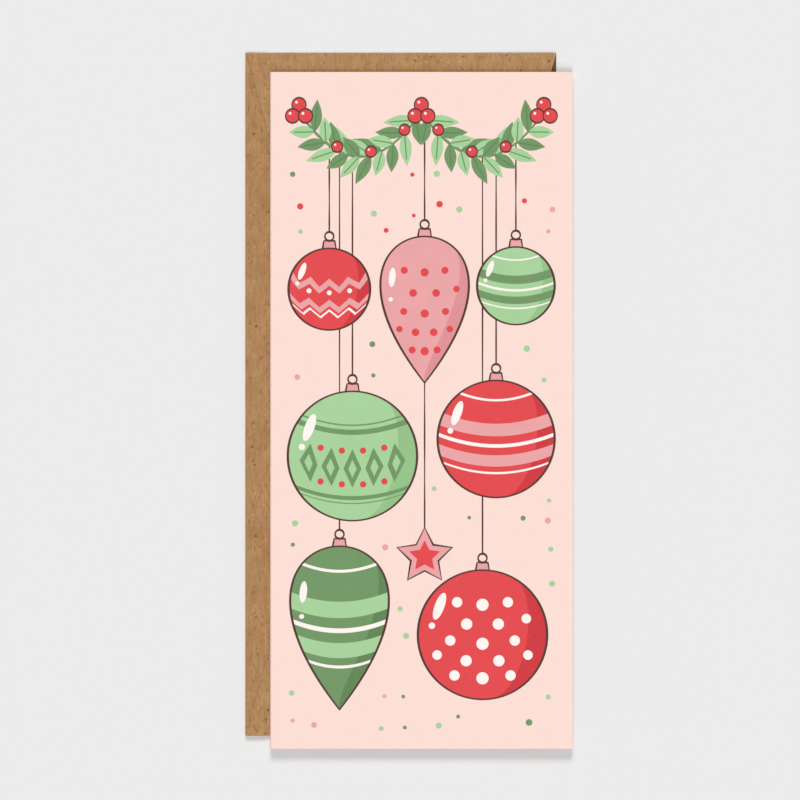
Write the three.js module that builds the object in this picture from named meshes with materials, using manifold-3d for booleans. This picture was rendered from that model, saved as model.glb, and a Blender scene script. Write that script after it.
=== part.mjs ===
// A slim money holder card lying on its kraft envelope, in millimetres.
// The card is a folded sheet of stock with a glued pocket inside for a banknote standing on end.
// The envelope lies on its address side and opens along its right long edge.
// Its seal flap is folded back under it.
// +X runs to the right across the card's front, +Y up the front and +Z away from the table.
// The origin is on the table, under the middle of the whole set's outline.
import * as THREE from 'three';
import { mergeVertices } from 'three/addons/utils/BufferGeometryUtils.js';
import Module from 'manifold-3d';

const wasm = await Module();
wasm.setup();

// Card
const CARD_HEIGHT = 198.8;
const STOCK = 0.35; // thickness of the card stock
const COVER_GAP = 0.2; // air between the pocket and the closed cover

// Money pocket inside the card, which gives the card its width
const NOTE_WIDTH = 66.3; // the banknote's short side
const NOTE_SPARE = 2.8; // room beside the note, both sides together
const POCKET_SIDE_MARGIN = 4.4; // from each side of the pocket to the card's long edge
const POCKET_HEIGHT = 92;
const TAB_WIDTH = 5.5;
const TAB_END_INSET = 2; // tab ends stay this far from the pocket's top and bottom
const TAB_TAPER = 2; // how much shorter a tab is at its free edge, at each end
const TAB_GAP = 0.1; // air between a tab and the pocket panel it turns behind
const TAB_GLUE = 0.05; // thickness of the glue under a tab
const TAB_GLUE_MARGIN = 0.8; // from the tab's edges to its glue
const NOTCH_RADIUS = 10; // thumb notch in the pocket's top edge
const FOLD_RELIEF = 0.3; // slit beside the pocket's bottom fold

// Envelope
const ENVELOPE_SPARE_WIDTH = 2.5; // wider than the card
const ENVELOPE_SPARE_HEIGHT = 2; // taller than the card
const KRAFT = 0.16; // thickness of the kraft paper
const POUCH_GAP = 0.4; // air inside the empty envelope
const BACK_END_CLEARANCE = 0.5; // from the back panel's ends to the end folds
const THROAT_DEPTH = 4.5; // from the right edge to the back panel's free edge
const END_FLAP_DEPTH = 26;
const END_FLAP_SLANT = 15; // degrees that an end flap's sides lean inwards
const END_FLAP_ROUNDING = 4;
const END_FLAP_CORNER = 0.4; // from the envelope's corner to the end flap's side
const SEAM_GLUE = 0.04; // thickness of the glue under an end flap
const SEAM_GLUE_WIDTH = 8;
const SEAM_GLUE_MARGIN = 4; // from the end flap's edges to its glue
const SEAL_FLAP_DEPTH = 38;
const SEAL_FLAP_SLANT = 20; // degrees that the seal flap's ends lean inwards
const SEAL_FLAP_ROUNDING = 6;
const SEAL_FLAP_CORNER = 1; // from the face's corner to the seal flap's end
const SEAL_FLAP_GAP = 0.24; // air between the face and the flap folded back under it
const GUM_WIDTH = 10;
const GUM_MARGIN = 3; // from the seal flap's free edge to the gum
const GUM_DEPTH = 0.04; // how deep the gum has soaked into the flap

// Card on the envelope
const CARD_LEFT_INSET = 7.3; // from the envelope's left edge to the card's spine
const CARD_TOP_INSET = 5.75; // from the envelope's top edge to the card's top edge
const REST_GAP = 0.3; // between the envelope and the card lying on it

// Facets
const FOLD_FACETS = 8; // on each half-round fold
const CORNER_FACETS = 8; // on each rounded corner
const NOTCH_FACETS = 20;
const CUT_THROUGH = 1; // how far a cutting solid reaches past the face that it cuts

const BLUSH = 0xfee0d6;
const STOCK_WHITE = 0xf6f1ea;
const KRAFT_BROWN = 0xae845a;
const GLUE_CREAM = 0xe6dcc6;
const GUM_AMBER = 0xb98f5f;

const RIGHT = new THREE.Vector3(1, 0, 0);
const LEFT = new THREE.Vector3(-1, 0, 0);
const UP_THE_FRONT = new THREE.Vector3(0, 1, 0);
const DOWN_THE_FRONT = new THREE.Vector3(0, -1, 0);
const OFF_THE_TABLE = new THREE.Vector3(0, 0, 1);

/** Paper's material: rough and not metallic. */
function paper(color, roughness = 0.9) {
  return new THREE.MeshStandardMaterial({ color, roughness, metalness: 0 });
}

/** Outline through corners {x, y, radius}, counterclockwise, each rounded by its own radius if it has one. */
function outline(corners) {
  const shape = new THREE.Shape();
  corners.forEach((corner, index) => {
    const here = new THREE.Vector2(corner.x, corner.y);
    const before = corners[(index + corners.length - 1) % corners.length];
    const after = corners[(index + 1) % corners.length];
    const arriving = new THREE.Vector2(here.x - before.x, here.y - before.y).normalize();
    const leaving = new THREE.Vector2(after.x - here.x, after.y - here.y).normalize();
    const radius = corner.radius ?? 0;
    const turn = Math.atan2(arriving.cross(leaving), arriving.dot(leaving));
    const setback = radius * Math.tan(Math.abs(turn) / 2);
    const start = here.clone().addScaledVector(arriving, -setback);
    if (index === 0) {
      shape.moveTo(start.x, start.y);
    } else {
      shape.lineTo(start.x, start.y);
    }
    if (radius > 0) {
      const side = Math.sign(turn);
      const towardsCentre = new THREE.Vector2(-arriving.y, arriving.x).multiplyScalar(side * radius);
      const centre = start.clone().add(towardsCentre);
      const from = Math.atan2(start.y - centre.y, start.x - centre.x);
      shape.absarc(centre.x, centre.y, radius, from, from + turn, turn < 0);
    }
  });
  shape.closePath();
  return shape;
}

/** Rectangle from its lowest to its highest corner. */
function rectangle(left, bottom, right, top) {
  return outline([
    { x: left, y: bottom },
    { x: right, y: bottom },
    { x: right, y: top },
    { x: left, y: top },
  ]);
}

/** Flat layer: an outline filled from the height low to the height high. */
function layer(name, shape, low, high, material, curveSegments = CORNER_FACETS) {
  const depth = high - low;
  const geometry = new THREE.ExtrudeGeometry(shape, { depth, bevelEnabled: false, curveSegments });
  const mesh = new THREE.Mesh(geometry, material);
  mesh.name = name;
  mesh.position.z = low;
  return mesh;
}

/** Radius of the half-round fold that joins a layer with its underside at low to one with its top at high. */
function foldRadius(low, high) {
  return (high - low) / 2;
}

/**
 * Half-round fold of a sheet, from the layer with its underside at low to the layer with its top at high.
 * It bulges towards outward, and runs along the straight edge between the points from and to, [x, y].
 */
function fold(name, { outward, from, to, low, high, thickness, material }) {
  const outer = foldRadius(low, high);
  const section = new THREE.Shape();
  section.absarc(0, 0, outer, -Math.PI / 2, Math.PI / 2, false);
  section.absarc(0, 0, outer - thickness, Math.PI / 2, -Math.PI / 2, true);
  section.closePath();
  const length = Math.hypot(to[0] - from[0], to[1] - from[1]);
  const geometry = new THREE.ExtrudeGeometry(section, {
    depth: length,
    bevelEnabled: false,
    curveSegments: FOLD_FACETS,
  });
  const along = new THREE.Vector3().crossVectors(outward, OFF_THE_TABLE);
  const first = along.x + along.y > 0 ? from : to;
  const place = new THREE.Matrix4().makeBasis(outward, OFF_THE_TABLE, along);
  place.setPosition(first[0], first[1], (low + high) / 2);
  const mesh = new THREE.Mesh(geometry, material);
  mesh.name = name;
  mesh.applyMatrix4(place);
  return mesh;
}

/** Closed solid, ready to cut, of a mesh in its own place. */
function solidOf(mesh) {
  mesh.updateMatrix();
  const bare = mesh.geometry.clone().applyMatrix4(mesh.matrix);
  bare.deleteAttribute('normal');
  bare.deleteAttribute('uv');
  const merged = mergeVertices(bare);
  return new wasm.Manifold(
    new wasm.Mesh({
      numProp: 3,
      vertProperties: Float32Array.from(merged.attributes.position.array),
      triVerts: Uint32Array.from(merged.index.array),
    }),
  );
}

/** The mesh with the cutting mesh's space taken out of it. */
function cutOut(mesh, cutter) {
  const cut = solidOf(mesh).subtract(solidOf(cutter)).getMesh();
  const geometry = new THREE.BufferGeometry();
  geometry.setAttribute('position', new THREE.BufferAttribute(Float32Array.from(cut.vertProperties), 3));
  geometry.setIndex(new THREE.BufferAttribute(Uint32Array.from(cut.triVerts), 1));
  geometry.computeVertexNormals();
  const result = new THREE.Mesh(geometry, mesh.material);
  result.name = mesh.name;
  return result;
}

/** How far a side that leans by an angle in degrees has come in over a depth. */
function lean(degrees, depth) {
  return depth * Math.tan(THREE.MathUtils.degToRad(degrees));
}

// Levels inside the card, counted from its underside
const backTop = STOCK;
const tabLow = backTop + TAB_GLUE;
const tabHigh = tabLow + STOCK;
const pocketLow = tabHigh + TAB_GAP;
const pocketHigh = pocketLow + STOCK;
const coverLow = pocketHigh + COVER_GAP;
const coverHigh = coverLow + STOCK;
const spineRadius = foldRadius(0, coverHigh);
const pocketFoldRadius = foldRadius(0, pocketHigh);
const tabFoldRadius = foldRadius(tabLow, pocketHigh);

// Pocket's place between the card's two long edges
const pocketLeft = POCKET_SIDE_MARGIN;
const pocketRight = pocketLeft + NOTE_WIDTH + NOTE_SPARE + 2 * TAB_WIDTH;
const cardWidth = pocketRight + POCKET_SIDE_MARGIN;

/** Cover, spine and back of the card. */
function cardSheet() {
  const sheet = new THREE.Group();
  const cover = rectangle(spineRadius, 0, cardWidth, CARD_HEIGHT);
  sheet.add(layer('card_front_cover', cover, coverLow, coverHigh, paper(BLUSH)));
  const back = outline([
    { x: spineRadius, y: 0 },
    { x: pocketLeft - FOLD_RELIEF, y: 0 },
    { x: pocketLeft - FOLD_RELIEF, y: pocketFoldRadius },
    { x: pocketRight + FOLD_RELIEF, y: pocketFoldRadius },
    { x: pocketRight + FOLD_RELIEF, y: 0 },
    { x: cardWidth, y: 0 },
    { x: cardWidth, y: CARD_HEIGHT },
    { x: spineRadius, y: CARD_HEIGHT },
  ]);
  sheet.add(layer('card_back_panel', back, 0, backTop, paper(BLUSH)));
  sheet.add(
    fold('card_spine_fold', {
      outward: LEFT,
      from: [spineRadius, 0],
      to: [spineRadius, CARD_HEIGHT],
      low: 0,
      high: coverHigh,
      thickness: STOCK,
      material: paper(BLUSH),
    }),
  );
  return sheet;
}

/** Front of the pocket with its thumb notch, and the fold it turns up on. */
function pocketFront() {
  const front = new THREE.Group();
  const middle = (pocketLeft + pocketRight) / 2;
  const shape = new THREE.Shape();
  shape.moveTo(pocketLeft, pocketFoldRadius);
  shape.lineTo(pocketRight, pocketFoldRadius);
  shape.lineTo(pocketRight, POCKET_HEIGHT);
  shape.absarc(middle, POCKET_HEIGHT, NOTCH_RADIUS, 0, Math.PI, true);
  shape.lineTo(pocketLeft, POCKET_HEIGHT);
  shape.closePath();
  front.add(layer('pocket_panel', shape, pocketLow, pocketHigh, paper(BLUSH), NOTCH_FACETS));
  front.add(
    fold('pocket_bottom_fold', {
      outward: DOWN_THE_FRONT,
      from: [pocketLeft, pocketFoldRadius],
      to: [pocketRight, pocketFoldRadius],
      low: 0,
      high: pocketHigh,
      thickness: STOCK,
      material: paper(BLUSH),
    }),
  );
  return front;
}

/**
 * One glue tab behind the pocket, with its fold and its glue.
 * Inward is 1 or -1 along X, from the pocket's side to its middle.
 */
function pocketTab(side, edge, inward) {
  const tab = new THREE.Group();
  const bottom = pocketFoldRadius + TAB_END_INSET;
  const top = POCKET_HEIGHT - TAB_END_INSET;
  const free = edge + inward * TAB_WIDTH;
  const base = [
    { x: edge, y: top },
    { x: edge, y: bottom },
  ];
  const tip = [
    { x: free, y: bottom + TAB_TAPER },
    { x: free, y: top - TAB_TAPER },
  ];
  const corners = [...base, ...tip];
  const shape = outline(inward > 0 ? corners : corners.reverse());
  tab.add(layer(`pocket_${side}_tab`, shape, tabLow, tabHigh, paper(STOCK_WHITE)));
  tab.add(
    fold(`pocket_${side}_tab_fold`, {
      outward: inward > 0 ? LEFT : RIGHT,
      from: [edge, bottom],
      to: [edge, top],
      low: tabLow,
      high: pocketHigh,
      thickness: STOCK,
      material: paper(BLUSH),
    }),
  );
  const glueNear = edge + inward * TAB_GLUE_MARGIN;
  const glueFar = free - inward * TAB_GLUE_MARGIN;
  const glueEnd = TAB_TAPER + TAB_GLUE_MARGIN;
  const glue = rectangle(
    Math.min(glueNear, glueFar),
    bottom + glueEnd,
    Math.max(glueNear, glueFar),
    top - glueEnd,
  );
  tab.add(layer(`pocket_${side}_glue`, glue, backTop, tabLow, paper(GLUE_CREAM, 0.5)));
  return tab;
}

// Levels in the envelope, counted from the table
const envelopeWidth = cardWidth + ENVELOPE_SPARE_WIDTH;
const envelopeHeight = CARD_HEIGHT + ENVELOPE_SPARE_HEIGHT;
const sealFlapTop = KRAFT;
const faceLow = sealFlapTop + SEAL_FLAP_GAP;
const faceHigh = faceLow + KRAFT;
const envelopeBackLow = faceHigh + POUCH_GAP;
const envelopeBackHigh = envelopeBackLow + KRAFT;
const endFlapLow = envelopeBackHigh + SEAM_GLUE;
const endFlapHigh = endFlapLow + KRAFT;
const sealFoldRadius = foldRadius(0, faceHigh);
const leftFoldRadius = foldRadius(faceLow, envelopeBackHigh);
const endFoldRadius = foldRadius(faceLow, endFlapHigh);

// Edges of the face, where the folds begin
const faceLeft = leftFoldRadius;
const faceRight = envelopeWidth - sealFoldRadius;
const faceBottom = endFoldRadius;
const faceTop = envelopeHeight - endFoldRadius;
const throat = envelopeWidth - THROAT_DEPTH;

/** Face and back of the envelope, and the long fold between them. */
function envelopeBody() {
  const body = new THREE.Group();
  const backBottom = faceBottom + BACK_END_CLEARANCE;
  const backEnd = faceTop - BACK_END_CLEARANCE;
  const face = rectangle(faceLeft, faceBottom, faceRight, faceTop);
  body.add(layer('envelope_face', face, faceLow, faceHigh, paper(KRAFT_BROWN)));
  const back = rectangle(faceLeft, backBottom, throat, backEnd);
  body.add(layer('envelope_back', back, envelopeBackLow, envelopeBackHigh, paper(KRAFT_BROWN)));
  body.add(
    fold('envelope_left_fold', {
      outward: LEFT,
      from: [faceLeft, backBottom],
      to: [faceLeft, backEnd],
      low: faceLow,
      high: envelopeBackHigh,
      thickness: KRAFT,
      material: paper(KRAFT_BROWN),
    }),
  );
  return body;
}

/**
 * One end flap glued over the back, with its fold and its glue.
 * Inward is 1 or -1 along Y, from the envelope's end to its middle.
 */
function endFlap(end, edge, inward) {
  const flap = new THREE.Group();
  const left = END_FLAP_CORNER;
  const right = envelopeWidth - END_FLAP_CORNER;
  const drawnIn = lean(END_FLAP_SLANT, END_FLAP_DEPTH);
  const tip = edge + inward * END_FLAP_DEPTH;
  const corners = [
    { x: left, y: edge },
    { x: right, y: edge },
    { x: right - drawnIn, y: tip, radius: END_FLAP_ROUNDING },
    { x: left + drawnIn, y: tip, radius: END_FLAP_ROUNDING },
  ];
  const shape = outline(inward > 0 ? corners : corners.reverse());
  flap.add(layer(`envelope_${end}_end_flap`, shape, endFlapLow, endFlapHigh, paper(KRAFT_BROWN)));
  flap.add(
    fold(`envelope_${end}_end_fold`, {
      outward: inward > 0 ? DOWN_THE_FRONT : UP_THE_FRONT,
      from: [left, edge],
      to: [right, edge],
      low: faceLow,
      high: endFlapHigh,
      thickness: KRAFT,
      material: paper(KRAFT_BROWN),
    }),
  );
  const glueFar = tip - inward * SEAM_GLUE_MARGIN;
  const glueNear = glueFar - inward * SEAM_GLUE_WIDTH;
  const glue = rectangle(
    left + drawnIn + SEAM_GLUE_MARGIN,
    Math.min(glueNear, glueFar),
    Math.min(right - drawnIn, throat) - SEAM_GLUE_MARGIN,
    Math.max(glueNear, glueFar),
  );
  flap.add(layer(`envelope_${end}_seam_glue`, glue, envelopeBackHigh, endFlapLow, paper(GLUE_CREAM, 0.5)));
  return flap;
}

/** Seal flap folded back under the face, its fold, and the gum that has soaked into its inner side. */
function sealFlap() {
  const flap = new THREE.Group();
  const bottom = faceBottom + SEAL_FLAP_CORNER;
  const top = faceTop - SEAL_FLAP_CORNER;
  const free = faceRight - SEAL_FLAP_DEPTH;
  const drawnIn = lean(SEAL_FLAP_SLANT, SEAL_FLAP_DEPTH);
  const shape = outline([
    { x: faceRight, y: bottom },
    { x: faceRight, y: top },
    { x: free, y: top - drawnIn, radius: SEAL_FLAP_ROUNDING },
    { x: free, y: bottom + drawnIn, radius: SEAL_FLAP_ROUNDING },
  ]);
  const gum = rectangle(
    free + GUM_MARGIN,
    bottom + drawnIn + GUM_MARGIN,
    free + GUM_MARGIN + GUM_WIDTH,
    top - drawnIn - GUM_MARGIN,
  );
  const whole = layer('envelope_seal_flap', shape, 0, sealFlapTop, paper(KRAFT_BROWN));
  const soaked = layer('soaked_paper', gum, -CUT_THROUGH, GUM_DEPTH, paper(KRAFT_BROWN));
  flap.add(cutOut(whole, soaked));
  flap.add(layer('seal_gum_strip', gum, 0, GUM_DEPTH, paper(GUM_AMBER, 0.35)));
  flap.add(
    fold('envelope_seal_flap_fold', {
      outward: RIGHT,
      from: [faceRight, bottom],
      to: [faceRight, top],
      low: 0,
      high: faceHigh,
      thickness: KRAFT,
      material: paper(KRAFT_BROWN),
    }),
  );
  return flap;
}

const card = new THREE.Group();
card.add(cardSheet());
card.add(pocketFront());
card.add(pocketTab('left', pocketLeft, 1));
card.add(pocketTab('right', pocketRight, -1));
const cardBottom = envelopeHeight - CARD_TOP_INSET - CARD_HEIGHT;
card.position.set(CARD_LEFT_INSET, cardBottom, endFlapHigh + REST_GAP);

const envelope = new THREE.Group();
envelope.add(envelopeBody());
envelope.add(endFlap('upper', faceTop, -1));
envelope.add(endFlap('lower', faceBottom, 1));
envelope.add(sealFlap());

const leftmost = Math.min(0, CARD_LEFT_INSET);
const rightmost = Math.max(envelopeWidth, CARD_LEFT_INSET + cardWidth);
const lowest = Math.min(0, cardBottom);
const highest = Math.max(envelopeHeight, cardBottom + CARD_HEIGHT);

const moneyHolderCard = new THREE.Group();
moneyHolderCard.add(envelope);
moneyHolderCard.add(card);
moneyHolderCard.position.set(-(leftmost + rightmost) / 2, -(lowest + highest) / 2, 0);

export default moneyHolderCard;
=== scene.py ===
"""A slim money holder card lying on its kraft envelope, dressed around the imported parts.

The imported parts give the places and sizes. This script models the folded sheets, the print on the
cover, the gum on the seal flap, the paper finishes and a plain studio. Lengths are in metres, apart from
names that end in _mm and the drawing of the print, which is in millimetres, with its heights over the
paper in micrometres. Angles are in radians, apart from names that end in _deg.
"""

import logging
import math
import random
from collections.abc import Callable, Sequence
from dataclasses import dataclass, field
from enum import Enum, IntEnum

import bmesh
import bpy
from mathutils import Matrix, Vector
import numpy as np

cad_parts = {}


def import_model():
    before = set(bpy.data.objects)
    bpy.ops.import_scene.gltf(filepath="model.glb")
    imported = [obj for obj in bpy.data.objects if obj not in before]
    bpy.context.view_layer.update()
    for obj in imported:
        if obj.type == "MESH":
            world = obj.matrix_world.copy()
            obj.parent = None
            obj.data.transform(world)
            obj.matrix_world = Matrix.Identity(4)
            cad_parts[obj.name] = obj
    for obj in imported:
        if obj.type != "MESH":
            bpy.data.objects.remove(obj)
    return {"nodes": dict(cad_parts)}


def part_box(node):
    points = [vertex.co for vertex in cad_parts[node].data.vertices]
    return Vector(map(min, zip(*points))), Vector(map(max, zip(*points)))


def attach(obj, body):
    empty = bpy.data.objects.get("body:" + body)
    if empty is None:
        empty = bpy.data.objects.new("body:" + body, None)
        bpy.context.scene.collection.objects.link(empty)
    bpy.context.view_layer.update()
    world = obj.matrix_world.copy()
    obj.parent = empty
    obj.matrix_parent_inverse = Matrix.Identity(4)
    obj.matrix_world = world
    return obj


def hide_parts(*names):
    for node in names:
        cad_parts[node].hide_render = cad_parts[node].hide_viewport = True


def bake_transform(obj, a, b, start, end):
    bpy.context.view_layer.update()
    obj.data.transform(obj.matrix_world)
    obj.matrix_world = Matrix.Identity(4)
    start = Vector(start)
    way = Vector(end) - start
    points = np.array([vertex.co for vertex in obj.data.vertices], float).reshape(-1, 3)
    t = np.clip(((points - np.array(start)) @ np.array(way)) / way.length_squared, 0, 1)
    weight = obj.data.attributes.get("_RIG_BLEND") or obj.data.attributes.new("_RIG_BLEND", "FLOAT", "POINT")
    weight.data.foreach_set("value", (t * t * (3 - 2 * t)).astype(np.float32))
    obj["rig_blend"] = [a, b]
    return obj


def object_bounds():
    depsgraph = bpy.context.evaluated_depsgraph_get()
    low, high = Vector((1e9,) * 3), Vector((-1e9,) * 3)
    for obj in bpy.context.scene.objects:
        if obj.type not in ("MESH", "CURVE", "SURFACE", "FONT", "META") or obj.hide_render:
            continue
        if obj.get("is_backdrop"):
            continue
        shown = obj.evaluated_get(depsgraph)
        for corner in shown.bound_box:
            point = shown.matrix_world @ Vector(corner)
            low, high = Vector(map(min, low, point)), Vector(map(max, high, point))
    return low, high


LOG = logging.getLogger("money_card")
MM = 0.001
# The map that unfolds a sheet, a place that no sheet on it reaches, and a step too short to see.
FLAT_MAP = "flat_sheet"
FAR_OFF = 9.0
SAME_PLACE = 1e-9
# The number of flats in a round fold.
FOLD_STEPS = 14
# The grain of the card stock's tooth, which also shows in the ink on it.
STOCK_TOOTH = 0.16 * MM

Point = tuple[float, float]
Outline = list[Point]
Cut = tuple[float, float, float]
Colour = tuple[float, float, float, float]
Place = Callable[[float, float, float], Vector]
Flat = Callable[[float, float], Point]
Piece = bpy.types.Object
Pieces = dict[str, Piece]
Material = bpy.types.Material
Group = bpy.types.NodeTree
Socket = bpy.types.NodeSocket
Sockets = bpy.types.bpy_prop_collection
Mesh = bmesh.types.BMesh
Corner = bmesh.types.BMVert


def ink_colour(red: int, green: int, blue: int) -> Colour:
    """Turns a colour as seen on screen into the linear colour that a shader takes.

    Args:
        red: the red part, 0 to 255.
        green: the green part.
        blue: the blue part.

    Returns:
        The linear colour with an alpha of 1.
    """
    parts = []
    for part in (red, green, blue):
        share = part / 255
        parts.append(share / 12.92 if share <= 0.04045 else ((share + 0.055) / 1.055) ** 2.4)
    return parts[0], parts[1], parts[2], 1.0


def grey(level: float) -> Colour:
    """Gives a neutral tint of that level."""
    return level, level, level, 1.0


def even_steps(first: float, last: float, count: int) -> list[float]:
    """Gives count + 1 values from first to last, evenly spaced."""
    return [first + (last - first) * step / count for step in range(count + 1)]


def share_between(value: float, low: float, high: float) -> float:
    """Gives 0 up to low and 1 from high on, with an even rise between them."""
    return min(1.0, max(0.0, (value - low) / (high - low)))


def smooth(share: float) -> float:
    """Gives 0 up to 0 and 1 from 1 on, with a smooth rise between them."""
    held = share_between(share, 0.0, 1.0)
    return held * held * (3.0 - 2.0 * held)


# The colour of the card's printed side, which also shows in thin spots of the ink.
BLUSH = ink_colour(254, 224, 214)


@dataclass(frozen=True)
class Box:
    """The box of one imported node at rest."""

    left: float
    right: float
    lower: float
    upper: float
    base: float
    crown: float

    @classmethod
    def of(cls, node: str) -> "Box":
        """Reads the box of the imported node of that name."""
        low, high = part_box(node)
        return cls(low.x, high.x, low.y, high.y, low.z, high.z)

    @property
    def thickness(self) -> float:
        """The height of the box, which is a flat panel's paper thickness."""
        return self.crown - self.base


def packed(node: str) -> Box:
    """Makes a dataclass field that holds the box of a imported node."""
    return field(default_factory=lambda: Box.of(node))


class NodeSketch:
    """Adds nodes to one node tree and links them."""

    def __init__(self, tree: Group) -> None:
        """Keeps the tree that the nodes go into."""
        self.tree = tree

    def feed(self, socket: Socket, value: object) -> None:
        """Links a socket to another one, or sets its value.

        Args:
            socket: the input to fill.
            value: an output socket, or a plain value.
        """
        if isinstance(value, Socket):
            self.tree.links.new(value, socket)
        else:
            socket.default_value = value

    def add(self, kind: str, feeds: dict[object, object], **settings: object) -> bpy.types.Node:
        """Adds one node.

        Args:
            kind: the node's type.
            feeds: a value or a socket for each input, by name or number.
            **settings: the node's own settings.

        Returns:
            The new node.
        """
        node = self.tree.nodes.new(kind)
        for name, value in settings.items():
            setattr(node, name, value)
        for key, value in feeds.items():
            self.feed(node.inputs[key], value)
        return node

    def sum_of(self, operation: str, first: object, second: object) -> Socket:
        """Gives the result of one sum on two values, such as MULTIPLY."""
        return self.add("ShaderNodeMath", {0: first, 1: second}, operation=operation).outputs[0]

    def scaled(self, value: object, factor: object, base: object) -> Socket:
        """Gives a value times a factor, added to a base."""
        return self.sum_of("ADD", self.sum_of("MULTIPLY", value, factor), base)

    def vector_sum(self, operation: str, first: object, second: object = (0.0, 0.0, 0.0)) -> Socket:
        """Gives the result of one sum on two vectors, such as ADD."""
        return self.add("ShaderNodeVectorMath", {0: first, 1: second}, operation=operation).outputs[0]

    def span(self, value: object, low: object, high: object) -> Socket:
        """Gives 0 at low and 1 at high, with a smooth rise between them."""
        feeds = {"Value": value, "From Min": low, "From Max": high}
        return self.add("ShaderNodeMapRange", feeds, interpolation_type="SMOOTHSTEP").outputs["Result"]

    def noise(self, vector: object, scale: object, detail: float) -> Socket:
        """Gives soft noise with that many features in a metre."""
        feeds = {"Vector": vector, "Scale": scale, "Detail": detail}
        return self.add("ShaderNodeTexNoise", feeds).outputs["Fac"]

    def pushed(self, vector: object, scale: float, reach: float, still: float) -> Socket:
        """Pushes points about by soft noise, so that what is drawn there comes out bent or ragged.

        Args:
            vector: the points.
            scale: the number of the noise's features in a metre.
            reach: how far apart the pushes of the lowest and the highest noise are.
            still: the level of noise that pushes nothing, from 0 to 1.

        Returns:
            The points after the push.
        """
        noise = self.add("ShaderNodeTexNoise", {"Vector": vector, "Scale": scale, "Detail": 1.0})
        off = self.vector_sum("SUBTRACT", noise.outputs["Color"], (still, still, still))
        return self.vector_sum("ADD", vector, self.vector_sum("MULTIPLY", off, (reach, reach, reach)))

    def mix(self, share: object, first: object, second: object, blend: str = "MIX") -> Socket:
        """Gives a colour between two colours."""
        feeds = {0: share, 6: first, 7: second}
        return self.add("ShaderNodeMix", feeds, data_type="RGBA", blend_type=blend).outputs[2]


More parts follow.
